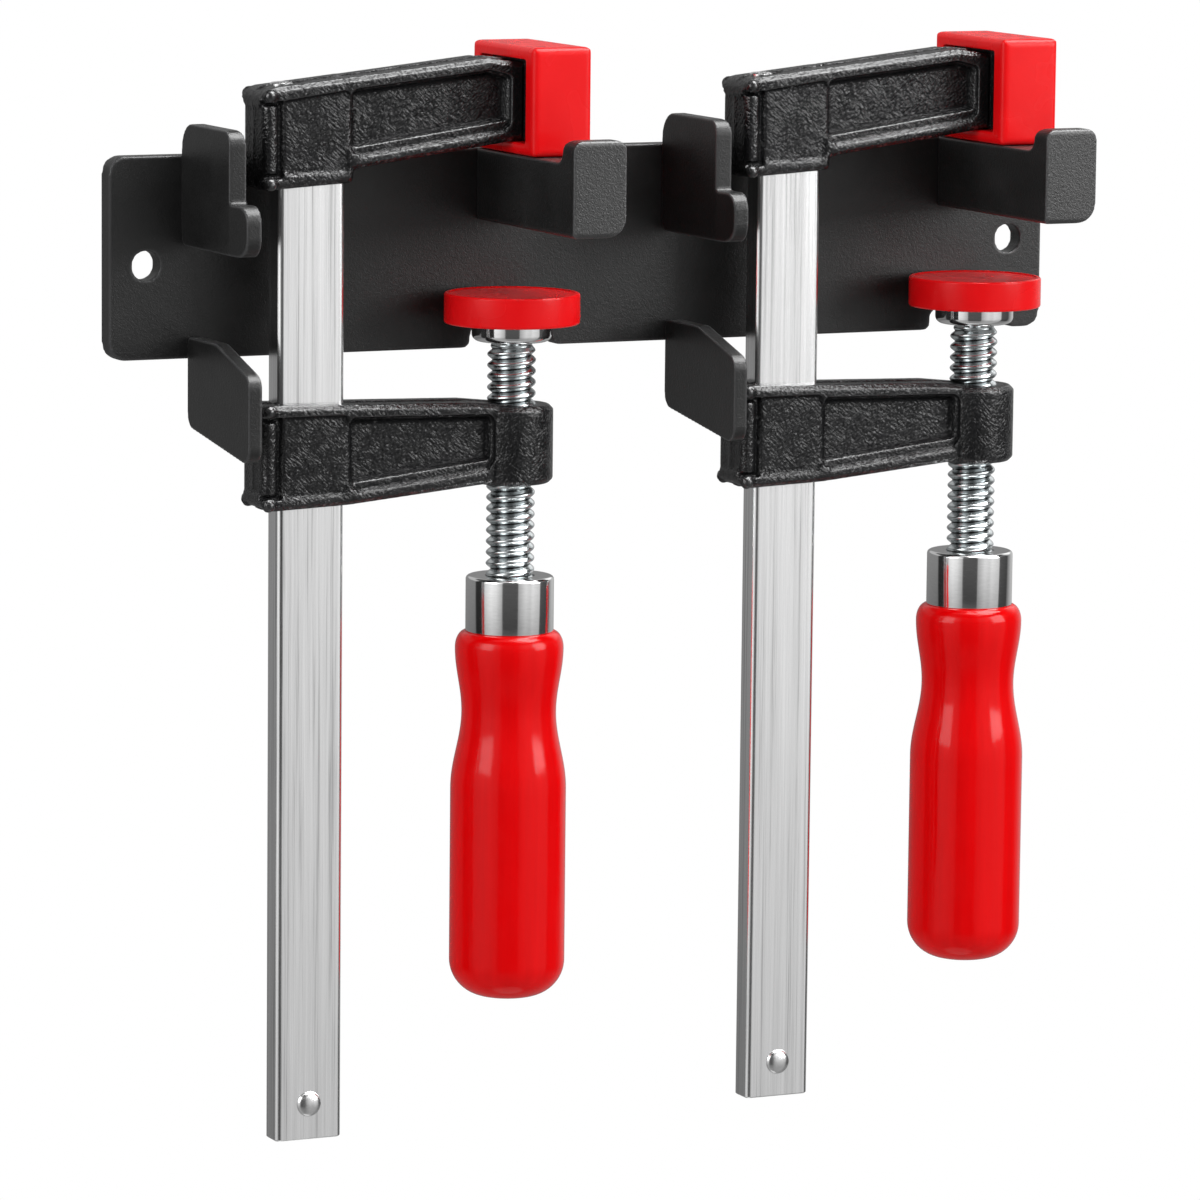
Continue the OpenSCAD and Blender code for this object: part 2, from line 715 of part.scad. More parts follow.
module sliding_jaw() {
    color("#1e1e1f")
    difference() {
        union() {
            difference() {
                union() {
                    soft_slab(slide_outline, jaw_t, jaw_edge);
                    soft_slab(low_flange, jaw_t, jaw_edge);
                    seam([slide_outline]);
                }
                rib_channel(slide_bottom, 0);
            }
            ribs(slide_bottom, 0);
            knobs(slide_bottom, 0);
            translate([reach, 0, boss_bottom]) {
                cylinder(d1 = boss_face_d, d2 = boss_d, h = jaw_edge);
                translate([0, 0, jaw_edge]) cylinder(d = boss_d, h = boss_h - 2 * jaw_edge);
                translate([0, 0, boss_h - jaw_edge]) cylinder(d1 = boss_d, d2 = boss_face_d, h = jaw_edge);
            }
        }
        both_faces() {
            recess(slide_head_panel, jaw_t, shallow_depth);
            casting_bevel(slide_head_edge, shallow_depth);
            recess(slide_panel(low_rim_w), jaw_t, ledge_depth);
            casting_bevel(slide_panel_edge, ledge_depth);
            pocket(slide_panel(low_rim_w + ledge_h), jaw_t, deep_depth, panel_draft);
        }
        translate([-bar_w / 2 - slide_play, -bar_t / 2 - slide_play, slide_bottom - cut])
            cube([bar_w + 2 * slide_play, bar_t + 2 * slide_play, slide_h + 2 * cut]);
        translate([reach, 0, slide_bottom - cut]) cylinder(d = spindle_d + 2 * play, h = slide_h + 2 * cut);
    }
}

// Spindle and what it carries, drawn on its own axis with z = 0 at the top of its thread
neck_z = tilt_gap;
ball_z = tilt_gap + collar_h - jaw_edge / 2;
module spindle() {
    color("#b9bcc0")
    difference() {
        union() {
            translate([0, 0, -thread_len - ferrule_wall])
                cylinder(d = spindle_d, h = thread_len + ferrule_wall);
            translate([0, 0, -thread_len - tang_len]) cylinder(d = tang_d, h = tang_len);
        }
        translate([0, 0, -stud_len - play]) cylinder(d = stud_d + 2 * play, h = stud_len + cut);
    }
}

module ball_stud() {
    color("#c9cacc") {
        translate([0, 0, ball_z]) sphere(d = ball_d);
        translate([0, 0, -stud_len]) cylinder(d = stud_d, h = stud_len + ball_z);
    }
}

// Steel foot: a collar with the ball's socket under a plate inside the red pad
pad_z = tilt_gap + collar_h;
foot_plate_h = pad_h - 2 * pad_wall;
socket_mouth = ball_z - tilt_gap;
module swivel_foot() {
    mouth_d = stud_d + 2 * ball_d / 10;
    color("#d6d7da")
    difference() {
        rotate_extrude() polygon(concat(
            [[0, tilt_gap]],
            corner([0, tilt_gap], [collar_d / 2, tilt_gap], [collar_d / 2, pad_z], jaw_edge),
            [
                [collar_d / 2, pad_z + pad_wall],
                [pad_d / 2 - pad_wall - seat_gap, pad_z + pad_wall],
                [pad_d / 2 - pad_wall - seat_gap, pad_z + pad_wall + foot_plate_h],
                [0, pad_z + pad_wall + foot_plate_h]
            ]
        ));
        translate([0, 0, ball_z]) sphere(d = ball_d + 2 * play);
        translate([0, 0, tilt_gap - cut]) cylinder(d = mouth_d, h = socket_mouth + cut);
    }
}

// Red pad snapped over the steel foot, its face slightly dished
module pad() {
    dish = pad_wall / 5;
    outer = pad_d / 2;
    top = pad_z + pad_h;
    color("#cf0a12")
    difference() {
        rotate_extrude() polygon(concat(
            [[0, pad_z]],
            corner([0, pad_z], [outer, pad_z], [outer, top], pad_wall / 3),
            corner([outer, pad_z], [outer, top], [0, top], pad_wall / 2),
            [[outer - pad_wall, top], [outer - 2 * pad_wall, top - dish], [0, top - dish]]
        ));
        translate([0, 0, pad_z + pad_wall])
            cylinder(r = outer - pad_wall, h = foot_plate_h);
        translate([0, 0, pad_z - cut]) cylinder(d = collar_d + 2 * seat_gap, h = pad_wall + 2 * cut);
    }
}

// Ferrule, a drawn steel cup over the handle's neck
ferrule_top = -thread_len;
ferrule_bottom = ferrule_top - ferrule_len;
module ferrule() {
    outer = ferrule_d / 2;
    inner = outer - ferrule_wall;
    color("#d6d7da")
    difference() {
        rotate_extrude() polygon(concat(
            [[0, ferrule_bottom], [outer, ferrule_bottom]],
            corner([outer, ferrule_bottom], [outer, ferrule_top], [0, ferrule_top], ferrule_wall),
            [[0, ferrule_top]]
        ));
        translate([0, 0, ferrule_bottom - cut]) cylinder(r = inner, h = ferrule_len - ferrule_wall + cut);
        translate([0, 0, ferrule_top - ferrule_wall - cut])
            cylinder(d = spindle_d + 2 * play, h = ferrule_wall + 2 * cut);
    }
}

// Turned wooden handle: a shoulder, a waist and a long barrel with a rounded end.
// Heights are shares of the handle's length, measured down from the ferrule.
handle_bottom = ferrule_bottom - handle_len;
shoulder_share = 0.06;
waist_share = 0.22;
barrel_share = 0.43;
function blend(s) = (1 - cos(180 * s)) / 2;
function at_share(s) = ferrule_bottom - handle_len * s;
function swell(from_d, to_d, from_s, to_s) = [
    for (i = [0 : arc_steps])
        let (way = i / arc_steps)
        [(from_d + (to_d - from_d) * blend(way)) / 2, at_share(from_s + (to_s - from_s) * way)]
];
function shoulder_round() = [
    for (i = [0 : arc_steps - 1])
        let (a = 90 * i / arc_steps, depth = handle_len * shoulder_share)
        [ferrule_d / 2 + (shoulder_d - ferrule_d) / 2 * sin(a), ferrule_bottom - depth * (1 - cos(a))]
];
module handle() {
    neck_r = ferrule_d / 2 - ferrule_wall - play;
    neck_top = ferrule_top - ferrule_wall - seat_gap;
    side_r = handle_d / 2;
    color("#cf0a12")
    difference() {
        rotate_extrude() polygon(concat(
            [[0, neck_top], [neck_r, neck_top], [neck_r, ferrule_bottom]],
            shoulder_round(),
            swell(shoulder_d, waist_d, shoulder_share, waist_share),
            swell(waist_d, handle_d, waist_share, barrel_share),
            corner([side_r, ferrule_bottom], [side_r, handle_bottom], [0, handle_bottom], handle_end_r),
            [[0, handle_bottom]]
        ));
        translate([0, 0, ferrule_top - tang_len - play]) cylinder(d = tang_d + 2 * play, h = tang_len + cut);
    }
}

// Places of a station's pieces on the plate and of its clamp's pieces
module at_station(i) { translate([station_x[i], 0, 0]) children(); }
module on_clamp(i) { translate([station_x[i], clamp_y, clamp_z]) children(); }
module on_slide(i) { on_clamp(i) translate([0, 0, -jaw_drop]) children(); }
module on_spindle(i) { on_slide(i) translate([reach, 0, spindle_out]) children(); }

wall_plate();
at_station(0) upper_tab();  // left_upper_tab
at_station(0) lower_tab();  // left_lower_tab
at_station(0) hook();  // left_hook
at_station(1) upper_tab();  // right_upper_tab
at_station(1) lower_tab();  // right_lower_tab
at_station(1) hook();  // right_hook
on_clamp(0) drilled_bar();  // left_bar
on_clamp(0) stop_rivet();  // left_stop_rivet
on_clamp(0) fixed_jaw();  // left_fixed_jaw
on_clamp(0) fixed_jaw_cap();  // left_fixed_jaw_cap
on_slide(0) sliding_jaw();  // left_sliding_jaw
on_spindle(0) spindle();  // left_spindle
on_spindle(0) ball_stud();  // left_ball_stud
on_spindle(0) swivel_foot();  // left_swivel_foot
on_spindle(0) pad();  // left_pad
on_spindle(0) ferrule();  // left_ferrule
on_spindle(0) handle();  // left_handle
on_clamp(1) drilled_bar();  // right_bar
on_clamp(1) stop_rivet();  // right_stop_rivet
on_clamp(1) fixed_jaw();  // right_fixed_jaw
on_clamp(1) fixed_jaw_cap();  // right_fixed_jaw_cap
on_slide(1) sliding_jaw();  // right_sliding_jaw
on_spindle(1) spindle();  // right_spindle
on_spindle(1) ball_stud();  // right_ball_stud
on_spindle(1) swivel_foot();  // right_swivel_foot
on_spindle(1) pad();  // right_pad
on_spindle(1) ferrule();  // right_ferrule
on_spindle(1) handle();  // right_handle
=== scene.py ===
"""Clamp rack: a wall plate with two stations, each holding one screw clamp.

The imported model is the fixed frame. Every shown piece rides on one of its bodies,
and most solids are replaced by a finer mesh that keeps their place and size.
Sizes are in millimetres here and become metres where a mesh is made.
"""
import json
import math

import bmesh
import bpy
import numpy as np
from mathutils import Matrix, Vector


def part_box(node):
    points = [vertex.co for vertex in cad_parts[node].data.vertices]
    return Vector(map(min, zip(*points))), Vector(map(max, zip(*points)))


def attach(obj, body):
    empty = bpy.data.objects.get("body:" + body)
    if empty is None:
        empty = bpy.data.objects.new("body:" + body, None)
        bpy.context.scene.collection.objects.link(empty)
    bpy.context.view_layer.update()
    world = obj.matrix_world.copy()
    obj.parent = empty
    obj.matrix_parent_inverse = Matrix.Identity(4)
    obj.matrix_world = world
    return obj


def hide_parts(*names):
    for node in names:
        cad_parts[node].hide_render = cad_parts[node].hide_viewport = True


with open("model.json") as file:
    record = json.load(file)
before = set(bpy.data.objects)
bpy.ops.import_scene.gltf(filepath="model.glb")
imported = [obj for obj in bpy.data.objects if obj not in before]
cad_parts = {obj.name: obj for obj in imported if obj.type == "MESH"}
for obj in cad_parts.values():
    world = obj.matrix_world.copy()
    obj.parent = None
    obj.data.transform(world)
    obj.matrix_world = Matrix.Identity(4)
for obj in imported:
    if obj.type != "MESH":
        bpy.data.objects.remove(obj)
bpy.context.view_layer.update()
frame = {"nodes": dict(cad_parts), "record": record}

MM = 0.001
SIDES = ("left", "right")
BODY_OF = {
    node: body
    for body, nodes in frame["record"]["behaviour"]["bodies"].items()
    for node in nodes}

# Materials. Noise scales are per metre: their features are about 1000 / scale millimetres across


def new_material(name):
    """A node material with its shader and output."""
    mat = bpy.data.materials.new(name)
    mat.use_nodes = True
    tree = mat.node_tree
    tree.nodes.clear()
    shader = tree.nodes.new("ShaderNodeBsdfPrincipled")
    output = tree.nodes.new("ShaderNodeOutputMaterial")
    tree.links.new(shader.outputs["BSDF"], output.inputs["Surface"])
    return mat, tree, shader


def coordinates(tree, stretch=(1, 1, 1), lean=0):
    """Object coordinates, turned about Y by lean degrees and then stretched per axis."""
    coord = tree.nodes.new("ShaderNodeTexCoord")
    vector = coord.outputs["Object"]
    for key, values in (("Rotation", (0, math.radians(lean), 0)), ("Scale", stretch)):
        mapping = tree.nodes.new("ShaderNodeMapping")
        mapping.inputs[key].default_value = values
        tree.links.new(vector, mapping.inputs["Vector"])
        vector = mapping.outputs["Vector"]
    return vector


def pointiness(tree):
    """About 0.5 on flat places of a dense mesh, more on outer edges and less in hollows."""
    return tree.nodes.new("ShaderNodeNewGeometry").outputs["Pointiness"]


def mixed(tree, share, first, second, kind="FLOAT"):
    """Blends two values or colours by a share from 0 to 1. Each is a socket or a fixed value."""
    node = tree.nodes.new("ShaderNodeMix")
    node.data_type = kind
    for key, value in (("Factor", share), ("A", first), ("B", second)):
        if isinstance(value, bpy.types.NodeSocket):
            tree.links.new(value, node.inputs[key])
        else:
            node.inputs[key].default_value = value
    return node.outputs["Result"]


def noise_value(tree, vector, scale, detail=3.0, roughness=0.5, distortion=0.0):
    """Noise from 0 to 1."""
    node = tree.nodes.new("ShaderNodeTexNoise")
    node.inputs["Scale"].default_value = scale
    node.inputs["Detail"].default_value = detail
    node.inputs["Roughness"].default_value = roughness
    node.inputs["Distortion"].default_value = distortion
    tree.links.new(vector, node.inputs["Vector"])
    return node.outputs["Fac"]


def remap(tree, value, low, high, out_low, out_high):
    """Stretches low..high to out_low..out_high and holds the ends."""
    node = tree.nodes.new("ShaderNodeMapRange")
    limits = {"From Min": low, "From Max": high, "To Min": out_low, "To Max": out_high}
    for key, number in limits.items():
        node.inputs[key].default_value = number
    tree.links.new(value, node.inputs["Value"])
    return node.outputs["Result"]


def paint_edge_highlight(tree, colour, low, high, edge_highlight_colour):
    """Paints a highlight into a colour: lighter along the sharp outer edges of a dense mesh."""
    share = remap(tree, pointiness(tree), low, high, 0, 1)
    return mixed(tree, share, colour, (*edge_highlight_colour, 1), "RGBA")


def colour_ramp(tree, value, stops):
    """A colour from a value. stops is a list of (value, colour)."""
    node = tree.nodes.new("ShaderNodeValToRGB")
    elements = node.color_ramp.elements
    while len(elements) < len(stops):
        elements.new(0.5)
    for element, (place, colour) in zip(elements, stops):
        element.position = place
        element.color = (*colour, 1)
    tree.links.new(value, node.inputs["Fac"])
    return node.outputs["Color"]


def add_bump(tree, shader, heights, distance, calm=None):
    """Chains bumps: heights is a list of (value, strength). calm stands in for the last strength."""
    last = None
    for value, strength in heights:
        bump = tree.nodes.new("ShaderNodeBump")
        bump.inputs["Strength"].default_value = strength
        bump.inputs["Distance"].default_value = distance
        tree.links.new(value, bump.inputs["Height"])
        if last is not None:
            tree.links.new(last, bump.inputs["Normal"])
        last = bump.outputs["Normal"]
    if calm is not None:
        tree.links.new(calm, bump.inputs["Strength"])
    tree.links.new(last, shader.inputs["Normal"])


def powder_coat(name="powder_coat", dark=0.0085, light=0.012, gloss=0.40, grain=0.00013):
    """Black powder coat: a fine leathery wrinkle with soft gloss, and a painted highlight along the
    edges.
    """
    mat, tree, shader = new_material(name)
    vector = coordinates(tree)
    wrinkle = noise_value(tree, vector, 1400, 2.0, 0.5, 1.0)
    mottle = noise_value(tree, vector, 90, 3.0, 0.6)
    shader.inputs["Specular IOR Level"].default_value = gloss
    coat = colour_ramp(tree, mottle, [(0.3, (dark, dark, dark)), (0.7, (light, light, light))])
    # Painted highlight: the coat is painted paler along its outer edges.
    edge_highlight_colour = paint_edge_highlight(tree, coat, 0.506, 0.53, (0.042, 0.042, 0.043))
    tree.links.new(edge_highlight_colour, shader.inputs["Base Color"])
    tree.links.new(remap(tree, mottle, 0.3, 0.7, 0.34, 0.42), shader.inputs["Roughness"])
    add_bump(tree, shader, [(wrinkle, 0.6)], grain)
    return mat


def hook_coat_painted_light():
    """A lighter, glossier copy of the same coat for the hooks: painted light on their faces."""
    return powder_coat("hook_coat_painted_light", 0.011, 0.015, 0.6, 0.00022)


def cast_black():
    """Glossy black paint over the wrinkled skin of a casting, duller in the hollows."""
    mat, tree, shader = new_material("cast_black")
    vector = coordinates(tree)
    ripples = [
        noise_value(tree, coordinates(tree, (1, 1, 0.34), lean), 1750, 1.0, 0.5, 0.4)
        for lean in (48, -52)]
    patches = noise_value(tree, vector, 260, 2.0, 0.5)
    skin = mixed(tree, remap(tree, patches, 0.42, 0.58, 0, 1), ripples[0], ripples[1])
    pits = noise_value(tree, vector, 700, 3.0, 0.6)
    cloud = noise_value(tree, vector, 90, 3.0, 0.6)
    paint = colour_ramp(tree, cloud, [(0.3, (0.0045, 0.0045, 0.005)), (0.7, (0.009, 0.009, 0.0095))])
    # Painted highlight: the paint is painted paler along the outer edges.
    edge_highlight_colour = paint_edge_highlight(tree, paint, 0.515, 0.55, (0.03, 0.03, 0.031))
    tree.links.new(edge_highlight_colour, shader.inputs["Base Color"])
    gloss = remap(tree, pointiness(tree), 0.48, 0.53, 0.1, 0.7)
    tree.links.new(gloss, shader.inputs["Specular IOR Level"])
    tree.links.new(remap(tree, cloud, 0.3, 0.7, 0.18, 0.27), shader.inputs["Roughness"])
    calm = remap(tree, pointiness(tree), 0.503, 0.53, 1.0, 0.25)
    add_bump(tree, shader, [(pits, 0.5), (skin, 1.0)], 0.0004, calm)
    return mat


def red_plastic():
    """Satin moulded plastic."""
    mat, tree, shader = new_material("red_plastic")
    vector = coordinates(tree)
    grain = noise_value(tree, vector, 900, 2.0, 0.5)
    ripple = noise_value(tree, vector, 110, 2.0, 0.5)
    cloud = noise_value(tree, vector, 60, 2.0, 0.5)
    shader.inputs["Specular IOR Level"].default_value = 0.2
    colour = colour_ramp(tree, cloud, [(0.3, (0.77, 0.0025, 0.0045)), (0.7, (0.84, 0.004, 0.0065))])
    tree.links.new(colour, shader.inputs["Base Color"])
    tree.links.new(remap(tree, cloud, 0.3, 0.7, 0.23, 0.30), shader.inputs["Roughness"])
    add_bump(tree, shader, [(grain, 0.12), (ripple, 0.12)], 0.0002)
    return mat


def red_lacquer():
    """Turned wood under a thick gloss lacquer."""
    mat, tree, shader = new_material("red_lacquer")
    grain = noise_value(tree, coordinates(tree, (1, 1, 0.06)), 420, 3.0, 0.55)
    orange_peel = noise_value(tree, coordinates(tree), 150, 2.0, 0.5)
    shader.inputs["Specular IOR Level"].default_value = 0.2
    colour = colour_ramp(tree, grain, [(0.3, (0.69, 0.0004, 0.0012)), (0.7, (0.76, 0.0008, 0.0018))])
    tree.links.new(colour, shader.inputs["Base Color"])
    tree.links.new(remap(tree, orange_peel, 0.3, 0.7, 0.10, 0.16), shader.inputs["Roughness"])
    add_bump(tree, shader, [(grain, 0.03), (orange_peel, 0.20)], 0.0004)
    return mat


def bar_steel():
    """Drawn steel with its grain along the bar."""
    mat, tree, shader = new_material("bar_steel")
    streaks = noise_value(tree, coordinates(tree, (1, 1, 0.008)), 1300, 4.0, 0.7)
    broad = noise_value(tree, coordinates(tree, (1, 1, 0.02)), 240, 3.0, 0.6)
    fine = noise_value(tree, coordinates(tree, (1, 1, 0.02)), 4200, 2.0, 0.6)
    shader.inputs["Metallic"].default_value = 1.0
    colour = colour_ramp(
        tree, mixed(tree, 0.35, streaks, broad),
        [(0.37, (0.55, 0.55, 0.552)), (0.46, (0.84, 0.84, 0.842)), (0.62, (0.96, 0.96, 0.962))])
    tree.links.new(colour, shader.inputs["Base Color"])
    tree.links.new(remap(tree, broad, 0.25, 0.75, 0.16, 0.26), shader.inputs["Roughness"])
    add_bump(tree, shader, [(streaks, 0.16), (fine, 0.12)], 0.00006)
    return mat


def bright_steel():
    """Bright plated steel with faint marks of polishing round it."""
    mat, tree, shader = new_material("bright_steel")
    rings = noise_value(tree, coordinates(tree, (0.15, 0.15, 1)), 2600, 2.0, 0.6)
    shader.inputs["Metallic"].default_value = 1.0
    colour = colour_ramp(tree, rings, [(0.3, (0.80, 0.80, 0.80)), (0.7, (0.86, 0.86, 0.86))])
    tree.links.new(colour, shader.inputs["Base Color"])
    tree.links.new(remap(tree, rings, 0.3, 0.7, 0.06, 0.11), shader.inputs["Roughness"])
    add_bump(tree, shader, [(rings, 0.03)], 0.00005)
    return mat


def satin_steel():
    """Rivet steel, dull from the hammer."""
    mat, tree, shader = new_material("satin_steel")
    marks = noise_value(tree, coordinates(tree), 700, 3.0, 0.6)
    shader.inputs["Metallic"].default_value = 1.0
    colour = colour_ramp(tree, marks, [(0.3, (0.70, 0.70, 0.70)), (0.7, (0.80, 0.80, 0.80))])
    tree.links.new(colour, shader.inputs["Base Color"])
    tree.links.new(remap(tree, marks, 0.3, 0.7, 0.2, 0.28), shader.inputs["Roughness"])
    add_bump(tree, shader, [(marks, 0.06)], 0.0001)
    return mat


def zinc_thread():
    """Zinc plated thread, a little blue, with painted shade in its roots."""
    mat, tree, shader = new_material("zinc_thread")
    spots = noise_value(tree, coordinates(tree), 500, 3.0, 0.6)
    shader.inputs["Metallic"].default_value = 1.0
    plating = colour_ramp(tree, spots, [(0.3, (0.56, 0.60, 0.61)), (0.7, (0.70, 0.73, 0.74))])
    # Painted shade: the roots of the thread are painted near black.
    clear_of_root_shade = remap(tree, pointiness(tree), 0.465, 0.50, 0, 1)
    colour = mixed(tree, clear_of_root_shade, (0.03, 0.032, 0.033, 1), plating, "RGBA")
    tree.links.new(colour, shader.inputs["Base Color"])
    tree.links.new(remap(tree, spots, 0.3, 0.7, 0.2, 0.27), shader.inputs["Roughness"])
    add_bump(tree, shader, [(spots, 0.02)], 0.0001)
    return mat


MATERIALS = {make.__name__: make() for make in (
    powder_coat, hook_coat_painted_light, cast_black, red_plastic, red_lacquer, bar_steel, bright_steel, satin_steel,
    zinc_thread)}

# Meshes


def mesh_object(name, verts, faces):
    """A new object from points in millimetres in the row's frame."""
    mesh = bpy.data.meshes.new(name)
    mesh.from_pydata([tuple(c * MM for c in v) for v in verts], [], faces)
    mesh.update()
    obj = bpy.data.objects.new(name, mesh)
    bpy.context.collection.objects.link(obj)
    return obj


def finish_piece(obj, node, slot_name, sharp_deg=38.0, material=None):
    """Smooths the shading, gives the material and puts the piece in its node's place."""
    mesh = bmesh.new()
    mesh.from_mesh(obj.data)
    bmesh.ops.recalc_face_normals(mesh, faces=mesh.faces)
    for face in mesh.faces:
        face.smooth = True
    for edge in mesh.edges:
        edge.smooth = len(edge.link_faces) == 2 and edge.calc_face_angle(0.0) < math.radians(sharp_deg)
    mesh.to_mesh(obj.data)
    mesh.free()
    obj.data.materials.clear()
    obj.data.materials.append(MATERIALS[material or slot_name])
    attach(obj, BODY_OF[node])
    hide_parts(node)


def node_range(node):
    """Lowest and highest corner of a node's box, in millimetres."""
    low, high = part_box(node)
    return Vector(low) / MM, Vector(high) / MM


def node_centre(node):
    """Middle of a node's box, in millimetres."""
    low, high = node_range(node)
    return (low + high) / 2


def arc(centre, radius, start, end, steps):
    """Points on an arc, angles in degrees."""
    points = []
    for i in range(steps + 1):
        angle = math.radians(start + (end - start) * i / steps)
        points.append((centre[0] + radius * math.cos(angle), centre[1] + radius * math.sin(angle)))
    return points


def lathe(name, profile, centre, segments=96, lying=False):
    """Turns (radius, height) points about an upright axis, or about one along Y if it is lying."""
    verts, faces, rings = [], [], []
    for r, height in profile:
        count = 1 if r < 1e-6 else segments
        rings.append(list(range(len(verts), len(verts) + count)))
        for i in range(count):
            angle = 2 * math.pi * i / segments
            a, b = r * math.cos(angle), r * math.sin(angle)
            if lying:
                verts.append((centre[0] + a, centre[1] + height, centre[2] + b))
            else:
                verts.append((centre[0] + a, centre[1] + b, height))
    for low, high in zip(rings, rings[1:]):
        for i in range(segments):
            j = (i + 1) % segments
            if len(low) == 1:
                faces.append((low[0], high[j], high[i]))
            elif len(high) == 1:
                faces.append((low[i], low[j], high[0]))
            else:
                faces.append((low[i], low[j], high[j], high[i]))
    return mesh_object(name, verts, faces)


def tube(name, rings):
    """A piece from rings of equally many points, closed at both ends."""
    count = len(rings[0])
    faces = [tuple(range(count))[::-1]]
    for row in range(len(rings) - 1):
        start = row * count
        for i in range(count):
            j = (i + 1) % count
            faces.append((start + i, start + j, start + count + j, start + count + i))
    faces.append(tuple((len(rings) - 1) * count + i for i in range(count)))
    return mesh_object(name, [point for ring in rings for point in ring], faces)


def applied(obj):
    """Turns the object's modifiers into its mesh."""
    graph = bpy.context.evaluated_depsgraph_get()
    mesh = bpy.data.meshes.new_from_object(obj.evaluated_get(graph))
    obj.modifiers.clear()
    obj.data = mesh
    return obj


def softened(node, name, voxel, steps):
    """The node's form with every edge rounded: fine voxels, then smoothing."""
    obj = bpy.data.objects.new(name, frame["nodes"][node].data.copy())
    bpy.context.collection.objects.link(obj)
    welded = bmesh.new()
    welded.from_mesh(obj.data)
    bmesh.ops.remove_doubles(welded, verts=welded.verts, dist=1e-6)
    welded.to_mesh(obj.data)
    welded.free()
    voxels = obj.modifiers.new("voxels", "REMESH")
    voxels.mode = "VOXEL"
    voxels.voxel_size = voxel * MM
    soft = obj.modifiers.new("soft", "SMOOTH")
    soft.factor = 0.5
    soft.iterations = steps
    return applied(obj)


def points_of(mesh):
    """A mesh's points in millimetres."""
    place = np.empty(len(mesh.vertices) * 3, np.float32)
    mesh.vertices.foreach_get("co", place)
    return place.reshape(-1, 3).astype(float) / MM


def normals_of(mesh):
    """A mesh's normals, one for each point."""
    normal = np.empty(len(mesh.vertices) * 3, np.float32)
    mesh.vertex_normals.foreach_get("vector", normal)
    return normal.reshape(-1, 3).astype(float)


def set_points(mesh, place):
    """Moves a mesh's points, given in millimetres."""
    mesh.vertices.foreach_set("co", (place * MM).astype(np.float32).ravel())
    mesh.update()


def smooth_where(obj, share, steps):
    """Smooths the mesh further, each point by its share from 0 to 1 in eighths."""
    group = obj.vertex_groups.new(name="share")
    for level in range(1, 9):
        chosen = np.flatnonzero(np.round(share * 8) == level)
        group.add(chosen.tolist(), level / 8, "REPLACE")
    soft = obj.modifiers.new("soft", "SMOOTH")
    soft.factor = 0.5
    soft.iterations = steps
    soft.vertex_group = "share"
    applied(obj)
    obj.vertex_groups.clear()


def s_curve(part):
    """Eases 0..1 in and out."""
    return part * part * (3 - 2 * part)


def ramp(value, low, high):
    """Rises smoothly from 0 at low to 1 at high."""
    return s_curve(np.clip((value - low) / (high - low), 0, 1))


# Cast grain: a net of shallow grooves round pebbles, the same at every run. Sizes in millimetres
GRAIN_SIZE, GRAIN_WARP, GRAIN_DEPTH = 1.0, 1.6, 0.07
# How far the warp bends the net, in grains, and how much the swell between grooves counts
GRAIN_BEND, SWELL_SHARE = 0.8, 0.25
# Share of the depth on a casting's sides, and how sharply its faces turn to sides
GRAIN_SIDE_SHARE, SIDE_POWER = 0.25, 8
# Width of a groove's flank, in grains
GROOVE_FLANK = 0.45
# Numbers that set the fixed random values apart
CELL_CODES = (374761393, 668265263, 2147483629)
SALT_CODE, LAST_CODE = 1274126177, 2246822519
PEBBLE_SALTS, WARP_SALTS, SWELL_SALT = (1, 2, 3), (11, 12, 13), 21


def lattice_value(cell, salt):
    """A fixed random number from 0 to 1 for each whole-number cell."""
    low_32, low_24 = np.uint64(0xFFFFFFFF), np.uint64(0xFFFFFF)
    code = sum(cell[..., axis] * factor for axis, factor in enumerate(CELL_CODES))
    code = (code + salt * SALT_CODE).astype(np.uint64) & low_32
    for shift, factor in ((13, SALT_CODE), (15, LAST_CODE)):
        code = ((code ^ (code >> np.uint64(shift))) * np.uint64(factor)) & low_32
    return ((code ^ (code >> np.uint64(16))) & low_24).astype(float) / int(low_24)


def value_noise(points, size, salt):
    """Smooth noise from -1 to 1 over cells of the given size."""
    place = points / size
    base = np.floor(place).astype(np.int64)
    part = s_curve(place - base)
    total = np.zeros(len(points))
    for corner in np.ndindex(2, 2, 2):
        weight = np.prod(np.where(np.array(corner) == 1, part, 1 - part), axis=1)
        total += weight * lattice_value(base + np.array(corner), salt)
    return total * 2 - 1


def pebble_height(points, size, salt):
    """0 in the grooves between pebbles, 1 on their tops."""
    place = points / size
    base = np.floor(place).astype(np.int64)
    near = np.full(len(points), 9.0)
    second = np.full(len(points), 9.0)
    for step in np.ndindex(3, 3, 3):
        cell = base + np.array(step) - 1
        feature = cell + np.stack([lattice_value(cell, salt + k) for k in PEBBLE_SALTS], axis=1)
        away = np.sqrt(((feature - place) ** 2).sum(axis=1))
        second = np.minimum(second, np.maximum(near, away))
        near = np.minimum(near, away)
    return s_curve(np.clip((second - near) / GROOVE_FLANK, 0, 1))


def cast_grain(obj, keep_out, salt):
    """Sinks the grooves of the grain into a casting, less on its sides than front and back."""
    mesh = obj.data
    place, normal = points_of(mesh), normals_of(mesh)
    warp = np.stack([value_noise(place, GRAIN_WARP, salt + k) for k in WARP_SALTS], axis=1)
    grain = pebble_height(place + warp * GRAIN_SIZE * GRAIN_BEND, GRAIN_SIZE, salt)
    swell = value_noise(place, GRAIN_WARP * 3, salt + SWELL_SALT)
    share = GRAIN_SIDE_SHARE + (1 - GRAIN_SIDE_SHARE) * np.abs(normal[:, 1]) ** SIDE_POWER
    move = GRAIN_DEPTH * share * (grain - 1 + SWELL_SHARE * swell)
    move[keep_out(place)] = 0
    set_points(mesh, place + normal * move[:, None])


# Rack: voxel size in millimetres and rounds of smoothing for the plate and for what stands on it
PLATE_SOFT, TAB_SOFT = (0.5, 4), (0.3, 8)
SOFT_SHARP_DEG = 60


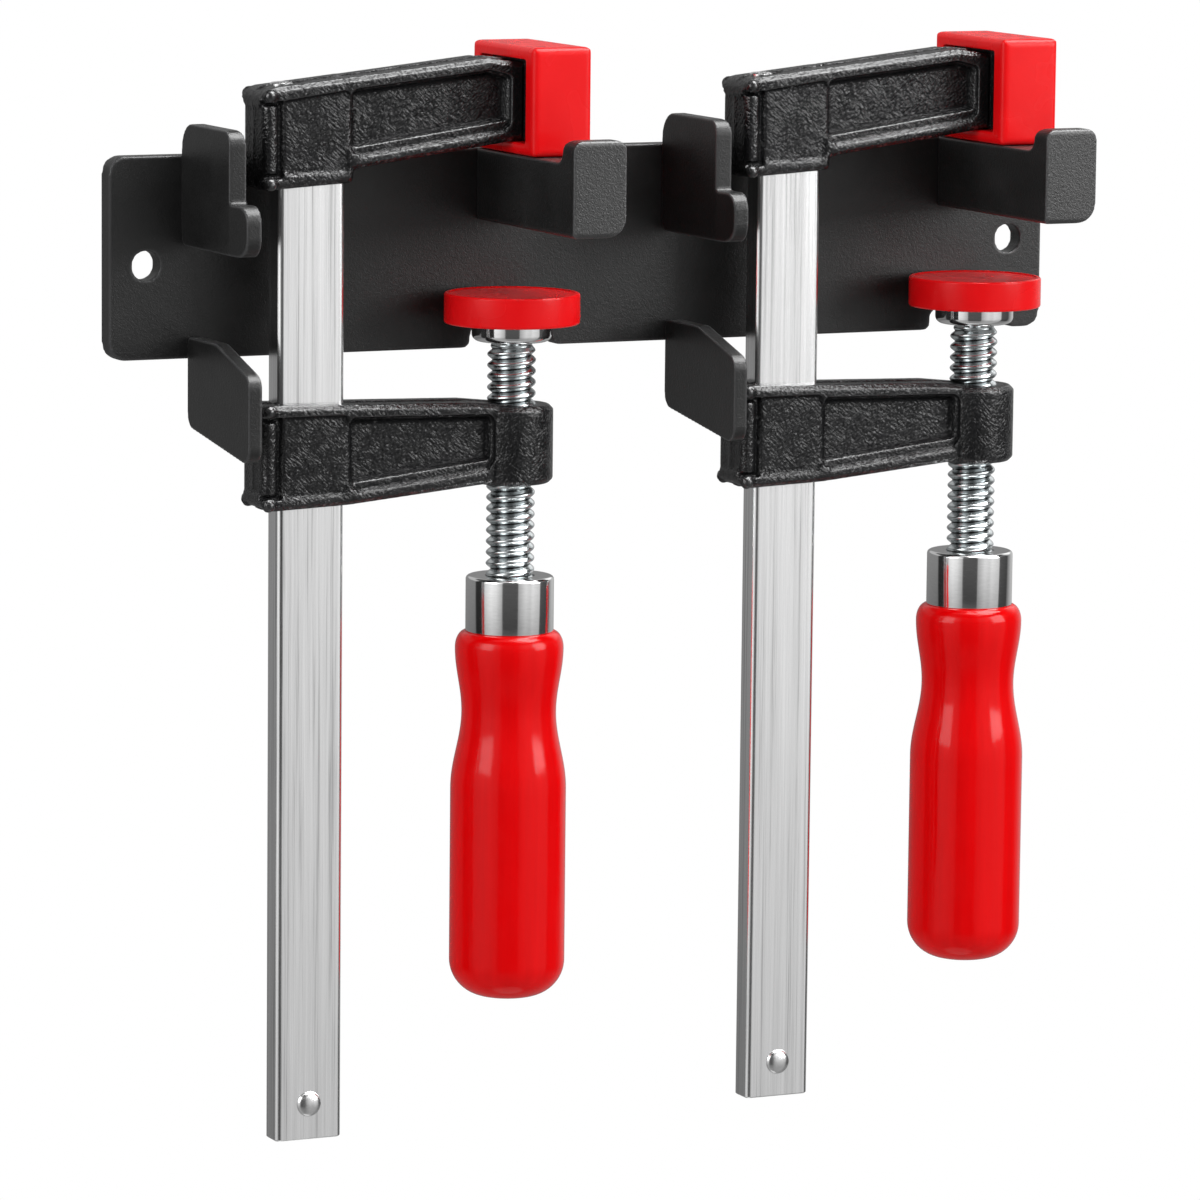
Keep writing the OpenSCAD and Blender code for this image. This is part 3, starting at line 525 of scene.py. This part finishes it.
def make_rack():
    """Wall plate, tabs and hooks."""
    plate = softened("wall_plate", "wall_plate_coated", *PLATE_SOFT)
    finish_piece(plate, "wall_plate", "powder_coat", SOFT_SHARP_DEG)
    for side in SIDES:
        for part in ("upper_tab", "lower_tab", "hook"):
            node = f"{side}_{part}"
            coated = softened(node, f"{node}_coated", *TAB_SOFT)
            # The hooks get the lighter copy of the coat, which paints light on them.
            finish = "hook_coat_painted_light" if part == "hook" else "powder_coat"
            finish_piece(coated, node, "powder_coat", SOFT_SHARP_DEG, finish)


# Bar, in millimetres: its section, and the round of its corners towards the broad faces. The round
# breaks off at this angle at the narrow faces, in degrees. Last the break at its lower end
BAR_WIDTH, BAR_DEPTH = 19.0, 8.0
BAR_EDGE_R, BAR_BREAK, BAR_END_EDGE = 1.8, 26, 0.35
# Tenon: its place beside the bar's middle, its length, how deep it sits, and its radius and depth
# below the top along its crown
TENON_SHIFT, TENON_LENGTH, TENON_DEEP = (-7.2, 0.5), 2.6, 3.9
TENON_CROWN = ((3.2, 0.5), (2.7, 0.2), (1.76, 0.05), (0, 0))
RIVET_R, RIVET_SHANK_R, RIVET_DOME = 3.45, 2.5, 1.5
SPINDLE_R = 6.6

# Castings and cap: voxel size and rounds of smoothing
CASTING_SOFT, CAP_SOFT, CASTING_SHARP_DEG = (0.3, 5), (0.35, 4), 70
HEAD_HEIGHT, SLIDE_HEIGHT = 26.9, 28.5
# The softened ribs reach this far from the outer edge and start this far from the lower and upper
# one. The step between the panels lies this far along, and is softened less
RIB_REACH, RIB_FROM, RIB_STEPS = 8.5, 3.6, 55
STEP_ALONG, STEP_CORE, STEP_REACH, STEP_SHARE = 25.3, 1.2, 3.0, 0.8
# Knobs at the ribs' ends: from the lower or upper edge, further along, radius, rise, roundness
KNOB_INSET, KNOB_SHIFT, KNOB_R, KNOB_RISE, KNOB_ROUND = 2.2, 0.4, 2.1, 0.65, 0.7
# Marks in the head's top: place beside the bar's middle, half widths, depth. First a dimple, then
# the countersink round the tenon
MARKS = (((9.5, -0.5), (2.0, 0.55), 0.5), (TENON_SHIFT, (4.3, 4.3), 0.4))
MARK_FLOOR, MARK_EDGE = 0.75, 1.1
# A point takes part if this much of its normal faces front or back, or up for a mark
STEP_FACING, KNOB_FACING, MARK_FACING = 0.2, 0.3, 0.6
SMOOTH_MARGIN = 1.2
GRAIN_SALTS = {"fixed_jaw": 9, "sliding_jaw": 11}
SIDE_SALT = 50


def near_bar_or_spindle(side):
    """Tells the points at a casting's bar slot and spindle bore and in the cap, which stay smooth."""
    bar, spindle = node_centre(f"{side}_bar"), node_centre(f"{side}_spindle")
    cap_left = node_range(f"{side}_fixed_jaw_cap")[0].x
    above = node_range(f"{side}_hook")[1].z

    def inside(place):
        beside, behind = abs(place[:, 0] - bar.x), abs(place[:, 1] - bar.y)
        at_bar = (beside < BAR_WIDTH / 2 + SMOOTH_MARGIN) & (behind < BAR_DEPTH / 2 + SMOOTH_MARGIN)
        from_axis = np.hypot(place[:, 0] - spindle.x, place[:, 1] - spindle.y)
        at_bore = from_axis < SPINDLE_R + SMOOTH_MARGIN
        in_cap = (place[:, 0] > cap_left - SMOOTH_MARGIN) & (place[:, 2] > above)
        return at_bar | at_bore | in_cap
    return inside


def soften_ribs(obj, corner, height):
    """Softens a casting's outer ribs and the step between its panels.

    corner is the lower outer corner of its head and height the head's.
    """
    place, normal = points_of(obj.data), normals_of(obj.data)
    along, up = place[:, 0] - corner[0], place[:, 2] - corner[1]
    share = (1 - ramp(along, RIB_REACH - 1, RIB_REACH)) * ramp(up, RIB_FROM - 1, RIB_FROM)
    at_step = 1 - ramp(abs(along - STEP_ALONG), STEP_CORE, STEP_REACH)
    share += STEP_SHARE * at_step * (abs(normal[:, 1]) > STEP_FACING)
    below_top = 1 - ramp(up, height - RIB_FROM - 1, height - RIB_FROM)
    smooth_where(obj, share * below_top, RIB_STEPS)


def knobs_and_marks(obj, corner, height, marks):
    """Raises the knobs at both ends of the ribs and sinks the marks into the top."""
    place, normal = points_of(obj.data), normals_of(obj.data)
    along, up = place[:, 0] - corner[0], place[:, 2] - corner[1]
    rise = np.zeros(len(place))
    for knob_up in (KNOB_INSET, height - KNOB_INSET):
        away = np.hypot(along - KNOB_INSET - KNOB_SHIFT, up - knob_up) / KNOB_R
        dome = np.clip(1 - away ** 2, 0, 1) ** KNOB_ROUND
        rise += KNOB_RISE * dome * (np.abs(normal[:, 1]) > KNOB_FACING)
    for x, y, half_x, half_y, depth in marks:
        away = np.hypot((place[:, 0] - x) / half_x, (place[:, 1] - y) / half_y)
        rise -= depth * (1 - ramp(away, MARK_FLOOR, MARK_EDGE)) * (normal[:, 2] > MARK_FACING)
    set_points(obj.data, place + normal * rise[:, None])


def make_castings(number, side):
    """Both jaws of a clamp and the cap. number counts the sides from 0."""
    bar = node_centre(f"{side}_bar")
    for part in ("fixed_jaw", "sliding_jaw"):
        node = f"{side}_{part}"
        casting = softened(node, f"{node}_casting", *CASTING_SOFT)
        low, high = node_range(node)
        if part == "fixed_jaw":
            corner, height = (low.x, low.z), HEAD_HEIGHT
            marks = [(bar.x + x, bar.y + y, *half, depth) for (x, y), half, depth in MARKS]
        else:
            corner, height, marks = (low.x, high.z - SLIDE_HEIGHT), SLIDE_HEIGHT, []
        soften_ribs(casting, corner, height)
        knobs_and_marks(casting, corner, height, marks)
        cast_grain(casting, near_bar_or_spindle(side), SIDE_SALT * number + GRAIN_SALTS[part])
        finish_piece(casting, node, "cast_black", CASTING_SHARP_DEG)
    node = f"{side}_fixed_jaw_cap"
    finish_piece(softened(node, f"{side}_red_cap", *CAP_SOFT), node, "red_plastic", SOFT_SHARP_DEG)


# Turned pieces, in millimetres
PITCH, THREAD_DEPTH = 3.0, 1.35
# The crests are rounder than the roots by this power. The thread runs out over THREAD_END at the
# foot, and over a share of its pitch at the top, where it ends at a share of its depth
CREST_POWER, THREAD_END, THREAD_FADE, THREAD_TIP = 0.62, 1.8, 0.6, 0.8
THREAD_SEGMENTS, ROWS_PER_TURN, THREAD_SHARP_DEG = 96, 24, 70
COLLAR_R, COLLAR_EDGE, FOOT_PLATE_R, STUD_GAP_R = 10.9, 2.0, 16.2, 3.4
# Pad: radius, upper and lower edge, rim, dish of the top, recess for the collar, and how far the
# pad goes past its node's top and bottom
PAD_R, PAD_EDGE, PAD_LOW_EDGE, PAD_RIM, PAD_DISH = 18.4, 0.6, 0.7, 1.3, 0.3
PAD_RECESS, PAD_FLOOR, COLLAR_GAP, PAD_RAISE, PAD_DROP = 2.0, 1.0, 0.3, 0.6, 0.3
# Width of the rim's inner slope, and the top inside it as shares of the radius and of the dish
PAD_SLOPE, PAD_CROWN = 0.6, ((0.4, 1.05), (0, 1.2))
FERRULE_R, FERRULE_WALL, FERRULE_EDGE, FIT = 12.0, 1.0, 0.25, 0.1
# Radius of the handle's rounded end, and the flat under it as a share of the flat's own radius
HANDLE_END_R, END_FLAT = 10.0, 0.6
# The handle's shoulder, waist and barrel: share of its length below the ferrule, and radius
HANDLE_STATIONS = ((0.045, 14.8), (0.22, 12.9), (0.43, 15.8))
STATION_STEPS, SHOULDER_STEPS, DOME_STEPS = 16, 10, 12
FINE_SEGMENTS, COARSE_SEGMENTS = 128, 48


def threaded(name, centre, top, bottom):
    """Right-hand thread with rounded crests and narrower roots, closed at both ends."""
    rows = int((top - bottom) / PITCH * ROWS_PER_TURN)
    rings = []
    for row in range(rows + 1):
        z = bottom + (top - bottom) * row / rows
        fade = min(1.0, (top - z) / (THREAD_FADE * PITCH))
        plain = max(0.0, 1 - (z - bottom) / THREAD_END)
        ring = []
        for i in range(THREAD_SEGMENTS):
            turn = i / THREAD_SEGMENTS
            phase = ((z - bottom) / PITCH - turn) % 1.0
            wave = 0.5 + 0.5 * math.cos(2 * math.pi * phase)
            depth = THREAD_DEPTH * (1 - wave ** CREST_POWER)
            r = SPINDLE_R - depth * fade * (1 - plain) - THREAD_DEPTH * THREAD_TIP * (1 - fade)
            angle = 2 * math.pi * turn
            ring.append((centre[0] + r * math.cos(angle), centre[1] + r * math.sin(angle), z))
        rings.append(ring)
    return tube(name, rings)


def foot_profile(bottom, top, plate_low):
    """Collar below and plate above, with the hole for the stud through both."""
    start = (STUD_GAP_R, bottom + COLLAR_EDGE)
    points = [start, (STUD_GAP_R, bottom)]
    points += arc((COLLAR_R - COLLAR_EDGE, bottom + COLLAR_EDGE), COLLAR_EDGE, -90, 0, 8)
    points += [(COLLAR_R, plate_low), (FOOT_PLATE_R, plate_low), (FOOT_PLATE_R, top)]
    return points + [(STUD_GAP_R, top), start]


def pad_profile(bottom, top):
    """Recess for the collar below, rounded edges, and a rim round a slightly dished top."""
    recess_r = COLLAR_R + COLLAR_GAP
    points = [(0, bottom + PAD_RECESS), (recess_r, bottom + PAD_RECESS), (recess_r, bottom)]
    points += arc((PAD_R - PAD_LOW_EDGE, bottom + PAD_LOW_EDGE), PAD_LOW_EDGE, -90, 0, 6)
    points += arc((PAD_R - PAD_EDGE, top - PAD_EDGE), PAD_EDGE, 0, 90, 8)
    rim_r = PAD_R - PAD_RIM
    for angle in (math.radians(a) for a in (0, 30, 60)):
        points.append((rim_r + PAD_DISH * math.sin(angle), top - PAD_DISH * (1 - math.cos(angle))))
    points.append((rim_r - PAD_SLOPE, top - PAD_DISH))
    return points + [(PAD_R * share, top - PAD_DISH * depth) for share, depth in PAD_CROWN]


def ferrule_profile(bottom, top, seat):
    """Sleeve with a round shoulder and a bore for the spindle. seat is the underside of its top."""
    inner, outer, bore = FERRULE_R - FERRULE_WALL, FERRULE_R - FERRULE_EDGE, SPINDLE_R + FIT
    points = [(inner, bottom), (outer, bottom)]
    points += arc((outer, bottom + FERRULE_EDGE), FERRULE_EDGE, -90, 0, 3)
    points += arc((inner, top - FERRULE_WALL), FERRULE_WALL, 0, 90, 8)
    return points + [(bore, top), (bore, seat), (inner, seat), (inner, bottom)]


def handle_profile(bottom, top, neck_top):
    """Rounded end, long barrel, waist and shoulder, up to the neck in the ferrule."""
    length = top - bottom
    shoulder, waist, barrel = HANDLE_STATIONS
    end_r = barrel[1] - HANDLE_END_R
    points = [(0, bottom), (end_r * END_FLAT, bottom)]
    points += arc((end_r, bottom + HANDLE_END_R), HANDLE_END_R, -90, 0, 16)
    for (from_s, from_r), (to_s, to_r) in ((barrel, waist), (waist, shoulder)):
        for i in range(STATION_STEPS + 1):
            s = i / STATION_STEPS
            r = from_r + (to_r - from_r) * (1 - math.cos(math.pi * s)) / 2
            points.append((r, top - length * (from_s + (to_s - from_s) * s)))
    for i in range(1, SHOULDER_STEPS + 1):
        angle = math.radians(90 * i / SHOULDER_STEPS)
        r = FERRULE_R + (shoulder[1] - FERRULE_R) * math.cos(angle)
        points.append((r, top - length * shoulder[0] * (1 - math.sin(angle))))
    neck_r = FERRULE_R - FERRULE_WALL - FIT
    return points + [(neck_r, top), (neck_r, neck_top), (0, neck_top)]


def make_screw(side):
    """Spindle, foot, pad, ferrule and handle, all round the spindle's axis."""
    axis = node_centre(f"{side}_spindle")
    ferrule_low, ferrule_high = node_range(f"{side}_ferrule")
    seat = ferrule_high.z - FERRULE_WALL
    thread = threaded(f"{side}_thread", axis, node_range(f"{side}_spindle")[1].z, seat)
    finish_piece(thread, f"{side}_spindle", "zinc_thread", THREAD_SHARP_DEG)

    foot_low, foot_high = node_range(f"{side}_swivel_foot")
    pad_low, pad_high = node_range(f"{side}_pad")
    pad_bottom, pad_top = pad_low.z - PAD_DROP, pad_high.z + PAD_RAISE
    profile = foot_profile(foot_low.z, foot_high.z, pad_bottom + PAD_FLOOR)
    collar = lathe(f"{side}_foot_collar", profile, axis)
    finish_piece(collar, f"{side}_swivel_foot", "bright_steel")
    pad = lathe(f"{side}_red_pad", pad_profile(pad_bottom, pad_top), axis, FINE_SEGMENTS)
    finish_piece(pad, f"{side}_pad", "red_plastic")

    profile = ferrule_profile(ferrule_low.z, ferrule_high.z, seat)
    finish_piece(lathe(f"{side}_ferrule_shell", profile, axis), f"{side}_ferrule", "bright_steel")
    handle_low, handle_high = node_range(f"{side}_handle")
    profile = handle_profile(handle_low.z, ferrule_low.z, handle_high.z)
    handle = lathe(f"{side}_turned_handle", profile, axis, FINE_SEGMENTS)
    finish_piece(handle, f"{side}_handle", "red_lacquer")


def bar_ring(centre, z, inset):
    """The bar's section at one height, its corners drawn in by inset."""
    half_w = BAR_WIDTH / 2 - BAR_EDGE_R * math.cos(math.radians(BAR_BREAK))
    half_d = BAR_DEPTH / 2 - BAR_EDGE_R
    ring = []
    for sx, sy, start, end in (
            (1, 1, BAR_BREAK, 90), (-1, 1, 90, 180 - BAR_BREAK), (-1, -1, 180 + BAR_BREAK, 270),
            (1, -1, 270, 360 - BAR_BREAK)):
        corner = (centre[0] + sx * half_w, centre[1] + sy * half_d)
        ring += [(x, y, z) for x, y in arc(corner, BAR_EDGE_R - inset, start, end, 10)]
    return ring


def make_bar(side):
    """Bar, with its peened tenon."""
    node = f"{side}_bar"
    low, high = node_range(node)
    middle = node_centre(node)
    rings = [
        bar_ring(middle, low.z, BAR_END_EDGE), bar_ring(middle, low.z + BAR_END_EDGE, 0),
        bar_ring(middle, high.z - TENON_LENGTH, 0)]
    finish_piece(tube(f"{side}_drawn_bar", rings), node, "bar_steel", 20)
    tenon_r = TENON_CROWN[0][0]
    profile = [(0, high.z - TENON_DEEP), (tenon_r, high.z - TENON_DEEP)]
    profile += [(r, high.z - depth) for r, depth in TENON_CROWN]
    place = (middle.x + TENON_SHIFT[0], middle.y + TENON_SHIFT[1])
    tenon = lathe(f"{side}_peened_tenon", profile, place, COARSE_SEGMENTS)
    finish_piece(tenon, node, "bar_steel", material="satin_steel")


def make_rivet(side):
    """Stop rivet with a domed head on both faces of the bar."""
    node = f"{side}_stop_rivet"
    half = BAR_DEPTH / 2
    quarter = [math.radians(90 * step / DOME_STEPS) for step in range(DOME_STEPS)]
    dome = [(RIVET_R * math.cos(a), half + RIVET_DOME * math.sin(a)) for a in quarter]
    dome.append((0, half + RIVET_DOME))
    profile = [(r, -h) for r, h in reversed(dome)]
    profile += [(RIVET_SHANK_R, -half), (RIVET_SHANK_R, half)] + dome
    rivet = lathe(f"{side}_domed_rivet", profile, node_centre(node), COARSE_SEGMENTS, lying=True)
    finish_piece(rivet, node, "bright_steel", material="satin_steel")


def plate_stud(side):
    """The ball stud keeps its own mesh and gets the thread's material."""
    data = frame["nodes"][f"{side}_ball_stud"].data
    data.materials.clear()
    data.materials.append(MATERIALS["zinc_thread"])


# Studio, in metres and degrees. An azimuth runs from -Y towards +X
CENTRE = Vector((0.0, -0.025, -0.09))
FLOOR_LEVEL, FLOOR_HALF = -1.15, 40.0
WORLD_LEVEL = 0.5
SURROUND_R, SURROUND_DROP = 1.7, 1.0
# Azimuth and level round the ring: two softboxes in front, dark between and beside them, and a
# weaker one behind
SURROUND = (
    (-180, 0.27), (-126, 0.26), (-121, 0.03), (-103, 0.03), (-97, 0.3), (-90, 0.8), (-73, 1.05),
    (-60, 0.92), (-46, 0.58), (-42, 0.1), (-4, 0.1), (-2, 0.46), (18, 0.86), (30, 0.78), (38, 0.92),
    (60, 0.72), (63, 0.1), (92, 0.07), (97, 0.24), (118, 0.6), (136, 0.6), (146, 0.25), (180, 0.27))
# Elevation of each row of the ring, its share of the level and what is added to that
SURROUND_ROWS = (
    (-75, 0.1, 0.3), (-30, 0.25, 0.2), (-20, 0.6, 0), (-5, 0.96, 0), (13, 1.0, 0), (17, 2.0, 0),
    (33, 2.0, 0), (38, 0.3, 0), (60, 0.3, 0))
# Azimuth, elevation, distance, width and level of the card overhead
SKY_CARD = (66, 68, 1.3, 0.95, 14.0)
# Name, azimuth, elevation, distance, size and power of each area light
LIGHTS = (
    ("key", -74, 20, 1.5, (0.75, 0.8), 7.5), ("fill", 46, 20, 1.5, (0.75, 0.8), 12.5),
    ("top", 30, 66, 1.3, (0.8, 0.8), 7))


def axes_towards(azimuth, elevation):
    """Directions from the object outwards, level across that, and upright to both."""
    turn, rise = math.radians(azimuth), math.radians(elevation)
    away = Vector((math.sin(turn) * math.cos(rise), -math.cos(turn) * math.cos(rise), math.sin(rise)))
    across = Vector((math.cos(turn), math.sin(turn), 0))
    return away, across, away.cross(across)


def white_where_seen(tree):
    """1 for the camera, mirrors and glass, which see the white studio, and 0 elsewhere."""
    path = tree.nodes.new("ShaderNodeLightPath")
    total = path.outputs["Is Camera Ray"]
    for key in ("Is Glossy Ray", "Is Transmission Ray"):
        either = tree.nodes.new("ShaderNodeMath")
        either.operation = "MAXIMUM"
        tree.links.new(total, either.inputs[0])
        tree.links.new(path.outputs[key], either.inputs[1])
        total = either.outputs[0]
    return total


def make_floor():
    """A wide pale floor that keeps the shadow."""
    mesh = bpy.data.meshes.new("floor")
    corners = [(-1, -1), (1, -1), (1, 1), (-1, 1)]
    verts = [(x * FLOOR_HALF, y * FLOOR_HALF, FLOOR_LEVEL) for x, y in corners]
    mesh.from_pydata(verts, [], [(0, 1, 2, 3)])
    floor = bpy.data.objects.new("floor", mesh)
    bpy.context.collection.objects.link(floor)
    mat, tree, shader = new_material("pale_floor")
    shader.inputs["Base Color"].default_value = (0.8, 0.8, 0.8, 1)
    shader.inputs["Roughness"].default_value = 0.9
    glow = tree.nodes.new("ShaderNodeEmission")
    glow.inputs["Color"].default_value = (1, 1, 1, 1)
    mix = tree.nodes.new("ShaderNodeMixShader")
    tree.links.new(white_where_seen(tree), mix.inputs["Fac"])
    tree.links.new(shader.outputs["BSDF"], mix.inputs[1])
    tree.links.new(glow.outputs["Emission"], mix.inputs[2])
    output = next(n for n in tree.nodes if n.type == "OUTPUT_MATERIAL")
    tree.links.new(mix.outputs["Shader"], output.inputs["Surface"])
    floor.data.materials.append(mat)


def make_world():
    """White where it is seen, and dimmer as a light."""
    world = bpy.data.worlds.new("studio")
    bpy.context.scene.world = world
    world.use_nodes = True
    tree = world.node_tree
    tree.nodes.clear()
    mix = tree.nodes.new("ShaderNodeMixShader")
    tree.links.new(white_where_seen(tree), mix.inputs["Fac"])
    for slot_number, level in ((1, WORLD_LEVEL), (2, 1.0)):
        background = tree.nodes.new("ShaderNodeBackground")
        background.inputs["Color"].default_value = (1, 1, 1, 1)
        background.inputs["Strength"].default_value = level
        tree.links.new(background.outputs["Background"], mix.inputs[slot_number])
    output = tree.nodes.new("ShaderNodeOutputWorld")
    tree.links.new(mix.outputs["Shader"], output.inputs["Surface"])


def surround_material():
    """Glows by each point's level."""
    mat = bpy.data.materials.new("surround")
    mat.use_nodes = True
    tree = mat.node_tree
    tree.nodes.clear()
    level = tree.nodes.new("ShaderNodeAttribute")
    level.attribute_name = "level"
    glow = tree.nodes.new("ShaderNodeEmission")
    output = tree.nodes.new("ShaderNodeOutputMaterial")
    tree.links.new(level.outputs["Fac"], glow.inputs["Strength"])
    tree.links.new(glow.outputs["Emission"], output.inputs["Surface"])
    return mat


def make_surround():
    """The ring and the card overhead, which only the object's bright surfaces see."""
    verts, faces, levels = [], [], []
    for azimuth, strength in SURROUND:
        across = axes_towards(azimuth, 0)[0]
        for rise, share, base in SURROUND_ROWS:
            slope = math.tan(math.radians(rise))
            reach = min(SURROUND_R, SURROUND_DROP / max(-slope, 1e-6))
            verts.append(CENTRE + across * reach + Vector((0, 0, reach * slope)))
            levels.append(strength * share + base)
    rows = len(SURROUND_ROWS)
    for i in range(len(SURROUND) - 1):
        for row in range(rows - 1):
            at = i * rows + row
            faces.append((at, at + rows, at + rows + 1, at + 1))
    azimuth, elevation, distance, width, card_level = SKY_CARD
    away, across, upright = axes_towards(azimuth, elevation)
    start = len(verts)
    for a, b in ((-1, -1), (1, -1), (1, 1), (-1, 1)):
        verts.append(CENTRE + away * distance + (across * a + upright * b) * width / 2)
        levels.append(card_level)
    faces.append((start, start + 1, start + 2, start + 3))
    mesh = bpy.data.meshes.new("surround")
    mesh.from_pydata(verts, [], faces)
    mesh.materials.append(surround_material())
    mesh.attributes.new("level", "FLOAT", "POINT").data.foreach_set("value", levels)
    ring = bpy.data.objects.new("surround", mesh)
    bpy.context.collection.objects.link(ring)
    ring.visible_camera = False
    ring.visible_diffuse = False
    ring.visible_shadow = False
    ring.visible_transmission = False


def area_light(name, azimuth, elevation, distance, size, power):
    """A softbox that faces the object."""
    back = axes_towards(azimuth, elevation)[0]
    light = bpy.data.lights.new(name, "AREA")
    light.shape = "RECTANGLE"
    light.size, light.size_y = size
    light.energy = power
    obj = bpy.data.objects.new(name, light)
    obj.location = CENTRE + back * distance
    obj.rotation_euler = back.to_track_quat("Z", "Y").to_euler()
    bpy.context.collection.objects.link(obj)


# Camera: angles in degrees, distances and target in millimetres
CAMERA_AZIMUTH, CAMERA_ELEVATION, CAMERA_ROLL = -25.0, 8.3, 0.6
CAMERA_DISTANCE, CAMERA_TARGET = 1804.0, (-4.7, -25.0, -93.7)
CAMERA_LENS, SENSOR_WIDTH = 197.97, 36.0


def make_camera():
    """The photograph's view."""
    roll = math.radians(CAMERA_ROLL)
    back, level, upright = axes_towards(CAMERA_AZIMUTH, CAMERA_ELEVATION)
    right = level * math.cos(roll) + upright * math.sin(roll)
    up = upright * math.cos(roll) - level * math.sin(roll)
    data = bpy.data.cameras.new("camera")
    data.lens = CAMERA_LENS
    data.sensor_width = SENSOR_WIDTH
    data.clip_start, data.clip_end = 0.05, 100.0
    obj = bpy.data.objects.new("camera", data)
    obj.matrix_world = Matrix((right, up, back)).transposed().to_4x4()
    obj.location = (Vector(CAMERA_TARGET) + back * CAMERA_DISTANCE) * MM
    bpy.context.collection.objects.link(obj)
    bpy.context.scene.camera = obj


make_rack()
for side_number, side_name in enumerate(SIDES):
    make_castings(side_number, side_name)
for side_name in SIDES:
    make_screw(side_name)
for side_name in SIDES:
    make_bar(side_name)
    make_rivet(side_name)
    plate_stud(side_name)
make_floor()
make_world()
make_surround()
for settings in LIGHTS:
    area_light(*settings)
make_camera()
bpy.context.scene.view_settings.view_transform = "Standard"
